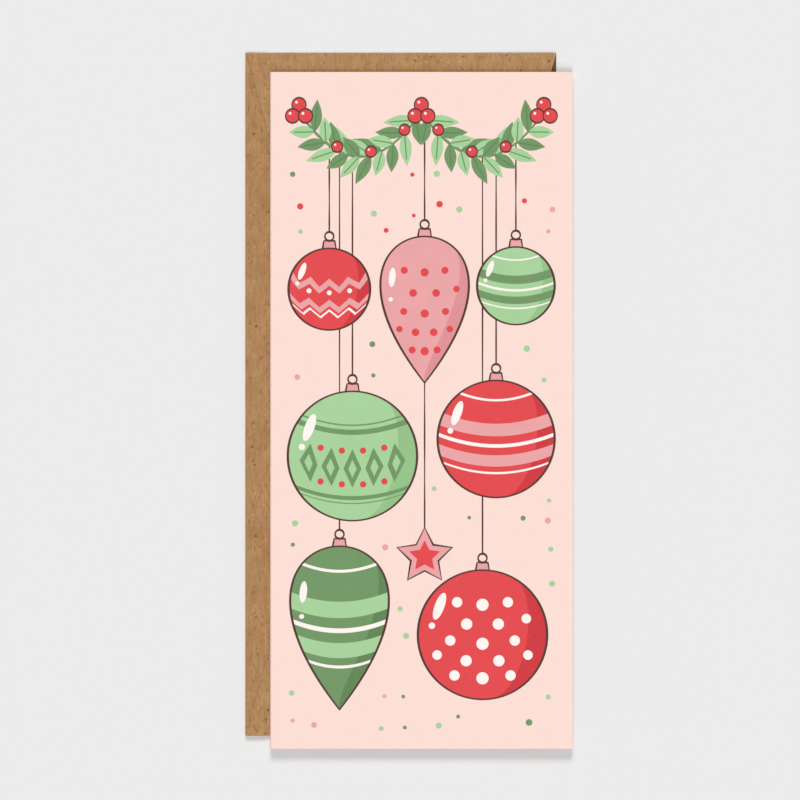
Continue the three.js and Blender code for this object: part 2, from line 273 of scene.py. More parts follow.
class EffectGroups:
    """The shared paper effects, each a node group that is built once."""

    def __init__(self) -> None:
        """Builds the groups."""
        self.tooth = self._tooth()
        self.grain = self._grain()
        self.strands = self._strands()
        self.specks = self._specks()
        self.fold_lines = self._fold_lines()

    @staticmethod
    def _start(
        name: str, values: Sequence[str], outputs: Sequence[str], places: Sequence[str] = ()
    ) -> tuple[NodeSketch, Sockets, Sockets]:
        """Starts a node group, whose first input is Vector.

        Args:
            name: the group's name.
            values: the names of the inputs that are single values.
            outputs: the names of the outputs, all single values.
            places: the names of the other inputs that are vectors.

        Returns:
            The sketch, the group's inputs and its outputs.
        """
        tree = bpy.data.node_groups.new(name, "ShaderNodeTree")
        kinds = dict.fromkeys(("Vector", *places), "NodeSocketVector")
        kinds |= dict.fromkeys(values, "NodeSocketFloat")
        for label, kind in kinds.items():
            tree.interface.new_socket(name=label, in_out="INPUT", socket_type=kind)
        for label in outputs:
            tree.interface.new_socket(name=label, in_out="OUTPUT", socket_type="NodeSocketFloat")
        sketch = NodeSketch(tree)
        source = sketch.add("NodeGroupInput", {})
        target = sketch.add("NodeGroupOutput", {})
        return sketch, source.outputs, target.inputs

    def _tooth(self) -> Group:
        """Makes the fine tooth of pressed paper and its cloudy look-through.

        Returns:
            The group, with Height and Cloud from 0 to 1.
        """
        coarser = 3.7
        sketch, given, out = self._start("paper_tooth", ("Grain", "Clouds"), ("Height", "Cloud"))
        grain_scale = sketch.sum_of("DIVIDE", 1.0, given["Grain"])
        fine = sketch.noise(given["Vector"], grain_scale, 2.0)
        coarse = sketch.noise(given["Vector"], sketch.sum_of("DIVIDE", grain_scale, coarser), 1.0)
        sketch.feed(out["Height"], sketch.sum_of("MULTIPLY", sketch.sum_of("ADD", fine, coarse), 0.5))
        cloud_scale = sketch.sum_of("DIVIDE", 1.0, given["Clouds"])
        sketch.feed(out["Cloud"], sketch.noise(given["Vector"], cloud_scale, 3.0))
        return sketch.tree

    @staticmethod
    def _drawn_out(sketch: NodeSketch, given: Sockets, vector: object) -> Socket:
        """Stretches a pattern so that its marks are about as long as Length and as wide as Width.

        Args:
            sketch: the group's sketch.
            given: its inputs.
            vector: the pattern's points.

        Returns:
            The points for a pattern with one feature in each unit.
        """
        across = sketch.sum_of("DIVIDE", 1.0, given["Width"])
        along = sketch.sum_of("DIVIDE", 1.0, given["Length"])
        scale = sketch.add("ShaderNodeCombineXYZ", {"X": across, "Y": along, "Z": 1.0}).outputs[0]
        return sketch.vector_sum("MULTIPLY", vector, scale)

    def _grain(self) -> Group:
        """Makes soft marks that are drawn out along the sheet's length.

        Returns:
            The group, with Level from 0 to 1.
        """
        low, high = 0.25, 0.75
        sketch, given, out = self._start("paper_grain", ("Length", "Width"), ("Level",))
        drawn = self._drawn_out(sketch, given, given["Vector"])
        sketch.feed(out["Level"], sketch.span(sketch.noise(drawn, 1.0, 1.0), low, high))
        return sketch.tree

    def _strands(self) -> Group:
        """Makes long thin fibres that lie mostly along the sheet's length, bent a little.

        Returns:
            The group, with Mask 1 on a fibre. Share sets how much of the sheet they cover.
        """
        headings_deg = (3.0, 17.0, -15.0, 50.0)
        shift_across, shift_along = 0.37, 0.11
        bends_per_metre = 190.0
        bend = 2.6 * MM
        fewest, per_share, softness = 0.86, 0.36, 0.09
        sketch, given, out = self._start("paper_strands", ("Length", "Width", "Share", "Turn"), ("Mask",))
        bent = sketch.pushed(given["Vector"], bends_per_metre, bend, 0.5)
        edge = sketch.sum_of("SUBTRACT", fewest, sketch.sum_of("MULTIPLY", given["Share"], per_share))
        full = sketch.sum_of("ADD", edge, softness)
        found = 0.0
        for number, heading_deg in enumerate(headings_deg):
            angle = sketch.sum_of("ADD", given["Turn"], math.radians(heading_deg))
            feeds = {"Vector": bent, "Angle": angle}
            spun = sketch.add("ShaderNodeVectorRotate", feeds, rotation_type="Z_AXIS").outputs[0]
            moved = sketch.vector_sum("ADD", spun, (shift_across * number, shift_along, 0.0))
            drawn = self._drawn_out(sketch, given, moved)
            strand = sketch.span(sketch.noise(drawn, 1.0, 0.0), edge, full)
            found = sketch.sum_of("MAXIMUM", found, strand)
        sketch.feed(out["Mask"], found)
        return sketch.tree

    def _specks(self) -> Group:
        """Makes scattered specks of uneven size.

        Returns:
            The group, with Mask 1 on a speck. Share is the part of the places that hold one.
        """
        notches_per_metre = 2600.0
        notch = 0.35 * MM
        least_size = 0.35
        core = 0.4
        sketch, given, out = self._start("paper_specks", ("Spacing", "Size", "Share"), ("Mask",))
        scale = sketch.sum_of("DIVIDE", 1.0, given["Spacing"])
        ragged = sketch.pushed(given["Vector"], notches_per_metre, notch, 0.0)
        feeds = {"Vector": ragged, "Scale": scale}
        cell = sketch.add("ShaderNodeTexVoronoi", feeds, voronoi_dimensions="2D").outputs
        chance = sketch.add("ShaderNodeSeparateColor", {"Color": cell["Color"]}).outputs
        held = sketch.sum_of("LESS_THAN", chance["Red"], given["Share"])
        radius = sketch.sum_of("MULTIPLY", sketch.sum_of("DIVIDE", given["Size"], given["Spacing"]), 0.5)
        grown = sketch.sum_of("MULTIPLY", radius, sketch.sum_of("ADD", chance["Green"], least_size))
        near = sketch.span(cell["Distance"], grown, sketch.sum_of("MULTIPLY", grown, core))
        sketch.feed(out["Mask"], sketch.sum_of("MULTIPLY", near, held))
        return sketch.tree

    def _fold_lines(self) -> Group:
        """Makes the rubbed lines that folds leave on the flat sheet.

        Returns:
            The group, with Mask 1 on the lines that run through Low and High along the sheet and across
            it, fading over Reach and broken up by noise.
        """
        breaks_per_metre = 1100.0
        gone, whole = 0.3, 0.65
        sketch, given, out = self._start("fold_lines", ("Reach",), ("Mask",), ("Low", "High"))
        nearest = FAR_OFF
        for corner in (given["Low"], given["High"]):
            gap = sketch.vector_sum("ABSOLUTE", sketch.vector_sum("SUBTRACT", given["Vector"], corner))
            parts = sketch.add("ShaderNodeSeparateXYZ", {0: gap}).outputs
            nearest = sketch.sum_of("MINIMUM", nearest, sketch.sum_of("MINIMUM", parts["X"], parts["Y"]))
        line = sketch.span(nearest, given["Reach"], 0.0)
        broken = sketch.span(sketch.noise(given["Vector"], breaks_per_metre, 3.0), gone, whole)
        sketch.feed(out["Mask"], sketch.sum_of("MULTIPLY", line, broken))
        return sketch.tree


class PaperMaterial:
    """One material in the making: its nodes, its shader and the points that its patterns follow."""

    def __init__(self, name: str, flat: bool) -> None:
        """Starts a material.

        Args:
            name: the material's name.
            flat: whether patterns follow the unfolded sheet, or else the object.
        """
        self.material = bpy.data.materials.new(name)
        self.material.use_nodes = True
        self.sketch = NodeSketch(self.material.node_tree)
        self.shader = self.material.node_tree.nodes["Principled BSDF"]
        if flat:
            self.vector = self.sketch.add("ShaderNodeUVMap", {}, uv_map=FLAT_MAP).outputs["UV"]
        else:
            self.vector = self.sketch.add("ShaderNodeTexCoord", {}).outputs["Object"]

    def effect(self, group: Group, **values: object) -> Sockets:
        """Places one shared group, with its inputs by name apart from Vector, and gives its outputs."""
        feeds = {"Vector": self.vector, **values}
        return self.sketch.add("ShaderNodeGroup", feeds, node_tree=group).outputs

    def shaded(self, colour: object, mask: object, light: Colour, dark: Colour) -> Socket:
        """Tints a colour from dark, where the mask is 0, to light, where it is 1."""
        tint = self.sketch.mix(mask, dark, light)
        return self.sketch.mix(1.0, colour, tint, "MULTIPLY")

    def laid(self, colour: object, mask: object, share: float, over: Colour) -> Socket:
        """Lays a share of another colour over a colour where the mask is 1."""
        return self.sketch.mix(self.sketch.sum_of("MULTIPLY", mask, share), colour, over)

    def finish(
        self, colour: object, roughness: object, shine: float, height: object, depth: float
    ) -> Material:
        """Feeds the shader.

        Args:
            colour: the base colour.
            roughness: the roughness.
            shine: the shader's specular level.
            height: the relief, 0 to 1.
            depth: how deep that relief is.

        Returns:
            The finished material.
        """
        bump = self.sketch.add("ShaderNodeBump", {"Strength": 1.0, "Distance": depth, "Height": height})
        self.sketch.feed(self.shader.inputs["Base Color"], colour)
        self.sketch.feed(self.shader.inputs["Roughness"], roughness)
        self.sketch.feed(self.shader.inputs["Specular IOR Level"], shine)
        self.sketch.feed(self.shader.inputs["Normal"], bump.outputs["Normal"])
        return self.material


@dataclass(frozen=True)
class StockFinish:
    """Card stock: one side or the cut edge of the card's sheet.

    Attributes:
        cloud_tint: how much the clouds darken the paper.
        fibre_tint: how much the fibres darken it.
        rub_tint: how much of the core shows where the spine is rubbed.
        rough_span: how much rougher the tooth's highest places are.
        fibre_height: how far the fibres stand up, as a share of the tooth's depth.
        core: the colour inside the stock.
    """

    name: str
    colour: Colour
    cloud_tint: float
    fibre_tint: float
    rub_tint: float
    tooth_depth_mm: float
    roughness: float = 0.72
    rough_span: float = 0.16
    fibre_height: float = 0.4
    shine: float = 0.16
    core: Colour = ink_colour(253, 249, 244)

    def material(self, effects: EffectGroups, fold_at: float) -> Material:
        """Makes the material.

        Args:
            effects: the shared groups.
            fold_at: where the spine crosses the flat sheet.

        Returns:
            The material, with tooth, clouds, a few fibres and a rubbed fold.
        """
        paper = PaperMaterial(self.name, True)
        line = (fold_at, FAR_OFF, 0.0)
        tooth = paper.effect(effects.tooth, Grain=STOCK_TOOTH, Clouds=5.0 * MM)
        fibre = paper.effect(effects.strands, Length=3.0 * MM, Width=0.12 * MM, Share=0.42, Turn=0.4)
        rub = paper.effect(effects.fold_lines, Low=line, High=line, Reach=1.1 * MM)
        colour = paper.shaded(self.colour, tooth["Cloud"], grey(1.0), grey(1.0 - self.cloud_tint))
        colour = paper.shaded(colour, fibre["Mask"], grey(1.0 - self.fibre_tint), grey(1.0))
        colour = paper.laid(colour, rub["Mask"], self.rub_tint, self.core)
        relief = paper.sketch.scaled(fibre["Mask"], self.fibre_height, tooth["Height"])
        rough = paper.sketch.scaled(tooth["Height"], self.rough_span, self.roughness)
        return paper.finish(colour, rough, self.shine, relief, self.tooth_depth_mm * MM)


@dataclass(frozen=True)
class FoldMap:
    """Where the envelope's folds lie on its unfolded sheet."""

    seal_fold: float
    long_fold: float
    lower_fold: float
    upper_fold: float


@dataclass(frozen=True)
class KraftFinish:
    """Brown kraft: one side or the cut edge of the envelope's sheet.

    Attributes:
        throat_shade_paint: how much painted shade darkens the paper just inside the open throat, where the
            flap and the card would shadow it.
        cloud_spread, soft_spread, fine_spread, tooth_spread: how far the clouds, the long soft grain, the
            short fine grain and the tooth lighten and darken the paper.
        ruddy, olive: the tints of the redder and the greener bands.
        warm, cool: the tints of the warmer and the cooler patches.
        light: the colour of pale fibres, flecks and rubbed folds.
        dark, speck: the colours of dark fibres and of specks of bark.
        pale_share, deep_share, fleck_share, speck_share, rub_share: how strongly the pale and the dark
            fibres, the flecks, the specks and the rubbed folds show.
        rough_span: how much rougher the tooth's highest places are.
        fibre_height: how far the pale fibres stand up, as a share of the relief.
    """

    name: str
    colour: Colour
    throat_shade_paint: float = 0.0
    cloud_spread: float = 0.14
    soft_spread: float = 0.075
    fine_spread: float = 0.05
    tooth_spread: float = 0.04
    ruddy: Colour = (1.02, 0.955, 1.03, 1.0)
    olive: Colour = (0.98, 1.045, 0.97, 1.0)
    warm: Colour = (1.035, 1.0, 0.94, 1.0)
    cool: Colour = (0.965, 1.0, 1.06, 1.0)
    light: Colour = ink_colour(204, 164, 122)
    dark: Colour = ink_colour(134, 95, 58)
    speck: Colour = ink_colour(114, 78, 46)
    pale_share: float = 0.36
    deep_share: float = 0.62
    fleck_share: float = 0.45
    speck_share: float = 0.85
    rub_share: float = 0.2
    roughness: float = 0.7
    rough_span: float = 0.2
    fibre_height: float = 0.6
    relief_mm: float = 0.02
    shine: float = 0.18

    def material(self, effects: EffectGroups, folds: FoldMap) -> Material:
        """Makes the material.

        Args:
            effects: the shared groups.
            folds: where the folds lie on the flat sheet.

        Returns:
            The material, with clouds, grain, strands, specks and worn folds, and painted shade inside the
            throat where that is asked for.
        """
        paper = PaperMaterial(self.name, True)
        low = (folds.seal_fold, folds.lower_fold, 0.0)
        high = (folds.long_fold, folds.upper_fold, 0.0)
        tooth = paper.effect(effects.tooth, Grain=0.25 * MM, Clouds=6.0 * MM)
        soft = paper.effect(effects.grain, Length=6.0 * MM, Width=1.1 * MM)
        fine = paper.effect(effects.grain, Length=1.4 * MM, Width=0.45 * MM)
        bands = paper.effect(effects.grain, Length=8.0 * MM, Width=3.0 * MM)
        patches = paper.effect(effects.grain, Length=8.0 * MM, Width=3.2 * MM)
        pale = paper.effect(effects.strands, Length=6.5 * MM, Width=0.36 * MM, Share=0.3, Turn=0.1)
        deep = paper.effect(effects.strands, Length=2.3 * MM, Width=0.6 * MM, Share=0.4, Turn=-0.1)
        specks = paper.effect(effects.specks, Spacing=4.4 * MM, Size=0.85 * MM, Share=0.34)
        flecks = paper.effect(effects.specks, Spacing=3.3 * MM, Size=0.9 * MM, Share=0.3)
        rub = paper.effect(effects.fold_lines, Low=low, High=high, Reach=0.9 * MM)
        colour = self.colour
        for level, spread in (
            (tooth["Cloud"], self.cloud_spread),
            (soft["Level"], self.soft_spread),
            (fine["Level"], self.fine_spread),
            (tooth["Height"], self.tooth_spread),
        ):
            colour = paper.shaded(colour, level, self._tint(spread), self._tint(-spread))
        colour = paper.shaded(colour, bands["Level"], self.ruddy, self.olive)
        colour = paper.shaded(colour, patches["Level"], self.warm, self.cool)
        for marks, share, over in (
            (pale, self.pale_share, self.light),
            (deep, self.deep_share, self.dark),
            (flecks, self.fleck_share, self.light),
            (specks, self.speck_share, self.speck),
            (rub, self.rub_share, self.light),
        ):
            colour = paper.laid(colour, marks["Mask"], share, over)
        # Painted shade: the inside is darkened inside the throat, where the flap and the card would shadow
        # it.
        if self.throat_shade_paint:
            colour = self._paint_throat_shade(paper, colour, folds.seal_fold)
        relief = paper.sketch.scaled(pale["Mask"], self.fibre_height, tooth["Height"])
        rough = paper.sketch.scaled(tooth["Height"], self.rough_span, self.roughness)
        return paper.finish(colour, rough, self.shine, relief, self.relief_mm * MM)

    @staticmethod
    def _tint(spread: float) -> Colour:
        """Gives a tint that changes the three parts of the brown by like amounts as seen on screen."""
        green, blue = 1.35, 1.9
        return 1 + spread, 1 + green * spread, 1 + blue * spread, 1.0

    def _paint_throat_shade(self, paper: PaperMaterial, colour: object, fold_at: float) -> Socket:
        """Paints shade into the paper inside the throat, from the seal fold inwards, where the flap and the
        card would shadow it.

        Args:
            paper: the material in the making.
            colour: its colour so far.
            fold_at: where the seal fold crosses the flat sheet.

        Returns:
            The colour with the painted shade in the throat.
        """
        starts_mm, fades_mm = (-0.55, -0.1), (14.0, 3.0)
        along = paper.sketch.add("ShaderNodeSeparateXYZ", {0: paper.vector}).outputs["X"]
        inside = 1.0
        for low_mm, high_mm in (starts_mm, fades_mm):
            edge = paper.sketch.span(along, fold_at + low_mm * MM, fold_at + high_mm * MM)
            inside = paper.sketch.sum_of("MULTIPLY", inside, edge)
        return paper.shaded(colour, inside, grey(1.0 - self.throat_shade_paint), grey(1.0))


@dataclass(frozen=True)
class InkFinish:
    """One printing ink on the stock's tooth.

    Attributes:
        name: the material's and its film's name.
        cloud_spread: how far its coat lightens and darkens.
        thin_share: how much of the paper shows in its thin spots.
        rough_span: how much rougher the tooth's highest places are.
        tooth_depth_mm: how deep the tooth still is under the ink.
    """

    name: str
    colour: Colour
    cloud_spread: float = 0.06
    thin_share: float = 0.12
    roughness: float = 0.6
    rough_span: float = 0.2
    tooth_depth_mm: float = 0.006
    shine: float = 0.2

    def material(self, effects: EffectGroups) -> Material:
        """Makes the material.

        Args:
            effects: the shared groups.

        Returns:
            The material, with the stock's tooth and small thin spots in the ink.
        """
        coat = PaperMaterial(self.name, False)
        light, dark = grey(1 + self.cloud_spread), grey(1 - self.cloud_spread)
        tooth = coat.effect(effects.tooth, Grain=STOCK_TOOTH, Clouds=6.0 * MM)
        thin = coat.effect(effects.specks, Spacing=1.3 * MM, Size=0.3 * MM, Share=0.2)
        colour = coat.shaded(self.colour, tooth["Cloud"], light, dark)
        colour = coat.laid(colour, thin["Mask"], self.thin_share, BLUSH)
        rough = coat.sketch.scaled(tooth["Height"], self.rough_span, self.roughness)
        return coat.finish(colour, rough, self.shine, tooth["Height"], self.tooth_depth_mm * MM)


@dataclass(frozen=True)
class GumFinish:
    """Dried adhesive: the flap's gum or the glue in a seam.

    Attributes:
        streak: the colour of the roller's streaks.
        coat: how glossy its skin is.
        streak_share: how strongly the streaks show.
        light, dark: the tints where it lies thin and thick.
        rough_span: how much rougher its dullest places are.
    """

    name: str
    colour: Colour
    streak: Colour
    roughness: float
    coat: float
    streak_share: float = 0.6
    light: float = 1.1
    dark: float = 0.86
    rough_span: float = 0.25
    relief_mm: float = 0.01
    shine: float = 0.5

    def material(self, effects: EffectGroups) -> Material:
        """Makes the material.

        Args:
            effects: the shared groups.

        Returns:
            The material, with roller streaks and an uneven shine.
        """
        gum = PaperMaterial(self.name, False)
        streaks = gum.effect(effects.grain, Length=24.0 * MM, Width=0.7 * MM)
        tooth = gum.effect(effects.tooth, Grain=0.3 * MM, Clouds=7.0 * MM)
        colour = gum.shaded(self.colour, tooth["Cloud"], grey(self.light), grey(self.dark))
        colour = gum.laid(colour, streaks["Level"], self.streak_share, self.streak)
        rough = gum.sketch.scaled(tooth["Cloud"], self.rough_span, self.roughness)
        gum.shader.inputs["Coat Weight"].default_value = self.coat
        return gum.finish(colour, rough, self.shine, tooth["Height"], self.relief_mm * MM)


def new_piece(name: str, shape: Mesh) -> Piece:
    """Turns a finished shape into an object of the scene.

    Args:
        name: the piece's name.
        shape: its mesh, which is freed.

    Returns:
        The new object, at the frame's origin.
    """
    mesh = bpy.data.meshes.new(name)
    shape.to_mesh(mesh)
    shape.free()
    piece = bpy.data.objects.new(name, mesh)
    bpy.context.scene.collection.objects.link(piece)
    return piece


def stands_for(piece: Piece, slot: str, *nodes: str) -> Piece:
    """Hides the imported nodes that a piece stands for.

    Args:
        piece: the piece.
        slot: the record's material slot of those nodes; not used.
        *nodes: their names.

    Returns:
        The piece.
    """
    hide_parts(*nodes)
    return piece


def dress(piece: Piece, materials: Sequence[Material]) -> None:
    """Gives a piece its materials, and leaves its faces' slots as they are.

    Args:
        piece: the piece.
        materials: the materials in the order of its slots.
    """
    slots = piece.data.materials
    for number, material in enumerate(materials):
        if number < len(slots):
            slots[number] = material
        else:
            slots.append(material)


class Side(IntEnum):
    """The sides of a sheet, in the order of its material slots."""

    OUTER = 0
    INNER = 1
    RIM = 2


@dataclass(frozen=True)
class Station:
    """One straight line across a folded sheet.

    Attributes:
        outer: the point of the paper's outside in the sheet's profile.
        inner: the point of its inside.
        low: where the line starts across the sheet.
        high: where it ends.
        along: how far along the unfolded sheet it lies.
    """

    outer: Point
    inner: Point
    low: float
    high: float
    along: float


def as_cut(along: float, across: float) -> Point:
    """Maps a sheet's own distances as they are."""
    return along, across


def across_x(place_y: float, place_z: float, across: float) -> Vector:
    """Places a point of a sheet whose folds run along X."""
    return Vector((across, place_y, place_z))


def across_y(place_x: float, place_z: float, across: float) -> Vector:
    """Places a point of a sheet whose folds run along Y."""
    return Vector((place_x, across, place_z))


class FoldedSheet:
    """A sheet of paper that is folded along parallel lines, followed from edge to edge."""

    def __init__(self, thickness: float) -> None:
        """Starts an empty sheet of that thickness."""
        self.thickness = thickness
        self.stations: list[Station] = []

    def _line(self, outer: Point, inner: Point, low: float, high: float) -> None:
        """Adds a line across the sheet unless it repeats the last one.

        Args:
            outer: its point on the paper's outside.
            inner: its point on the inside.
            low: where it starts across the sheet.
            high: where it ends.
        """
        along = 0.0
        if self.stations:
            last = self.stations[-1]
            step = (math.dist(outer, last.outer) + math.dist(inner, last.inner)) / 2
            if step < SAME_PLACE and low == last.low and high == last.high:
                return
            along = last.along + step
        self.stations.append(Station(outer, inner, low, high, along))

    def panel(self, start: Point, heading: Point, inward: Point, cuts: Sequence[Cut]) -> None:
        """Adds a flat panel.

        Args:
            start: where its outside starts in the profile.
            heading: the direction in which it runs.
            inward: the direction from its outside to its inside.
            cuts: for each line across it, the distance from start and the line's two ends.
        """
        for distance, low, high in cuts:
            outer = start[0] + heading[0] * distance, start[1] + heading[1] * distance
            inner = outer[0] + inward[0] * self.thickness, outer[1] + inward[1] * self.thickness
            self._line(outer, inner, low, high)

    def fold(
        self, centre: Point, outer_radius: float, turn_deg: Point, span: Point, steps: int = FOLD_STEPS
    ) -> None:
        """Adds a round fold.

        Args:
            centre: the middle of its arc in the profile.
            outer_radius: the radius of the paper's outside there.
            turn_deg: the angles at which the arc starts and ends.
            span: the ends of the fold across the sheet.
            steps: the number of flats in the arc.
        """
        convex = outer_radius > self.thickness
        inner_radius = outer_radius + (-self.thickness if convex else self.thickness)
        for angle_deg in even_steps(*turn_deg, steps):
            way = math.cos(math.radians(angle_deg)), math.sin(math.radians(angle_deg))
            outer = centre[0] + way[0] * outer_radius, centre[1] + way[1] * outer_radius
            inner = centre[0] + way[0] * inner_radius, centre[1] + way[1] * inner_radius
            self._line(outer, inner, *span)

    def fold_middle(self, first: int) -> float:
        """Gives how far along the unfolded sheet the middle of the fold lies that starts at a station."""
        return (self.stations[first].along + self.stations[first + FOLD_STEPS].along) / 2

    def piece(
        self,
        name: str,
        place: Place,
        rows: Sequence[float] = (0.0, 1.0),
        flat: Flat = as_cut,
        edge: float = 0.0,
    ) -> Piece:
        """Makes the closed mesh of the sheet, with a map of the unfolded sheet.

        Args:
            name: the piece's name.
            place: turns a profile point and a place across the sheet into a point in the frame.
            rows: the shares of the sheet's width at which its faces meet.
            flat: turns a distance along the sheet and a place across it into a point of the map.
            edge: the width of the border at the outer side's high end that shows the cut edge's finish.

        Returns:
            The new object, with a material slot for each side.
        """
        shape = bmesh.new()
        mapped: dict[Corner, Point] = {}
        grids: dict[Side, list[list[Corner]]] = {Side.OUTER: [], Side.INNER: []}
        for station in self.stations:
            width = station.high - station.low
            border = [1.0 - edge / width] if edge else []
            for side, point in ((Side.OUTER, station.outer), (Side.INNER, station.inner)):
                line = []
                for share in sorted([*rows, *border]):
                    across = station.low + width * share
                    vertex = shape.verts.new(place(point[0], point[1], across))
                    mapped[vertex] = flat(station.along, across)
                    line.append(vertex)
                grids[side].append(line)
        outer, inner = grids[Side.OUTER], grids[Side.INNER]
        last = len(self.stations) - 1
        count = len(outer[0]) - 1
        for first in range(last):
            for row in range(count):
                for side, grid in grids.items():
                    near, far = grid[first], grid[first + 1]
                    bordering = edge and side is Side.OUTER and row == count - 1
                    shown = Side.RIM if bordering else side
                    self._face(shape, (near[row], far[row], far[row + 1], near[row + 1]), shown)
            for row in (0, count):
                corners = outer[first][row], outer[first + 1][row], inner[first + 1][row], inner[first][row]
                self._face(shape, corners, Side.RIM)
        for end in (0, last):
            for row in range(count):
                corners = outer[end][row], outer[end][row + 1], inner[end][row + 1], inner[end][row]
                self._face(shape, corners, Side.RIM)
        bmesh.ops.recalc_face_normals(shape, faces=shape.faces)
        layer = shape.loops.layers.uv.new(FLAT_MAP)
        for face in shape.faces:
            for loop in face.loops:
                loop[layer].uv = mapped[loop.vert]
        for joint in shape.edges:
            joint.smooth = len({face.material_index for face in joint.link_faces}) == 1
        return new_piece(name, shape)

    @staticmethod
    def _face(shape: Mesh, corners: Sequence[Corner], side: Side) -> None:
        """Adds one face.

        Args:
            shape: the mesh in the making.
            corners: the face's corners in order.
            side: the side of the sheet that it shows.
        """
        face = shape.faces.new(corners)
        face.material_index = side
        face.smooth = side is not Side.RIM


def leaning_side(depth: float, lean_deg: float, rounding: float, steps: int = 8) -> Outline:
    """Follows one side of a flap from its free edge to its fold.

    Args:
        depth: the flap's depth.
        lean_deg: how far the side leans in.
        rounding: the radius of its corner.
        steps: the number of flats in the corner.

    Returns:
        Distances from the free edge, each with how far the side is set in there.
    """
    lean = math.radians(lean_deg)
    inset = depth * math.tan(lean)
    tangent = rounding / math.tan(math.radians(90 + lean_deg) / 2)
    side = []
    for angle_deg in even_steps(180, 270 - lean_deg, steps):
        angle = math.radians(angle_deg)
        side.append((rounding * (1 + math.cos(angle)), inset + tangent + rounding * math.sin(angle)))
    side.append((depth, 0.0))
    return side


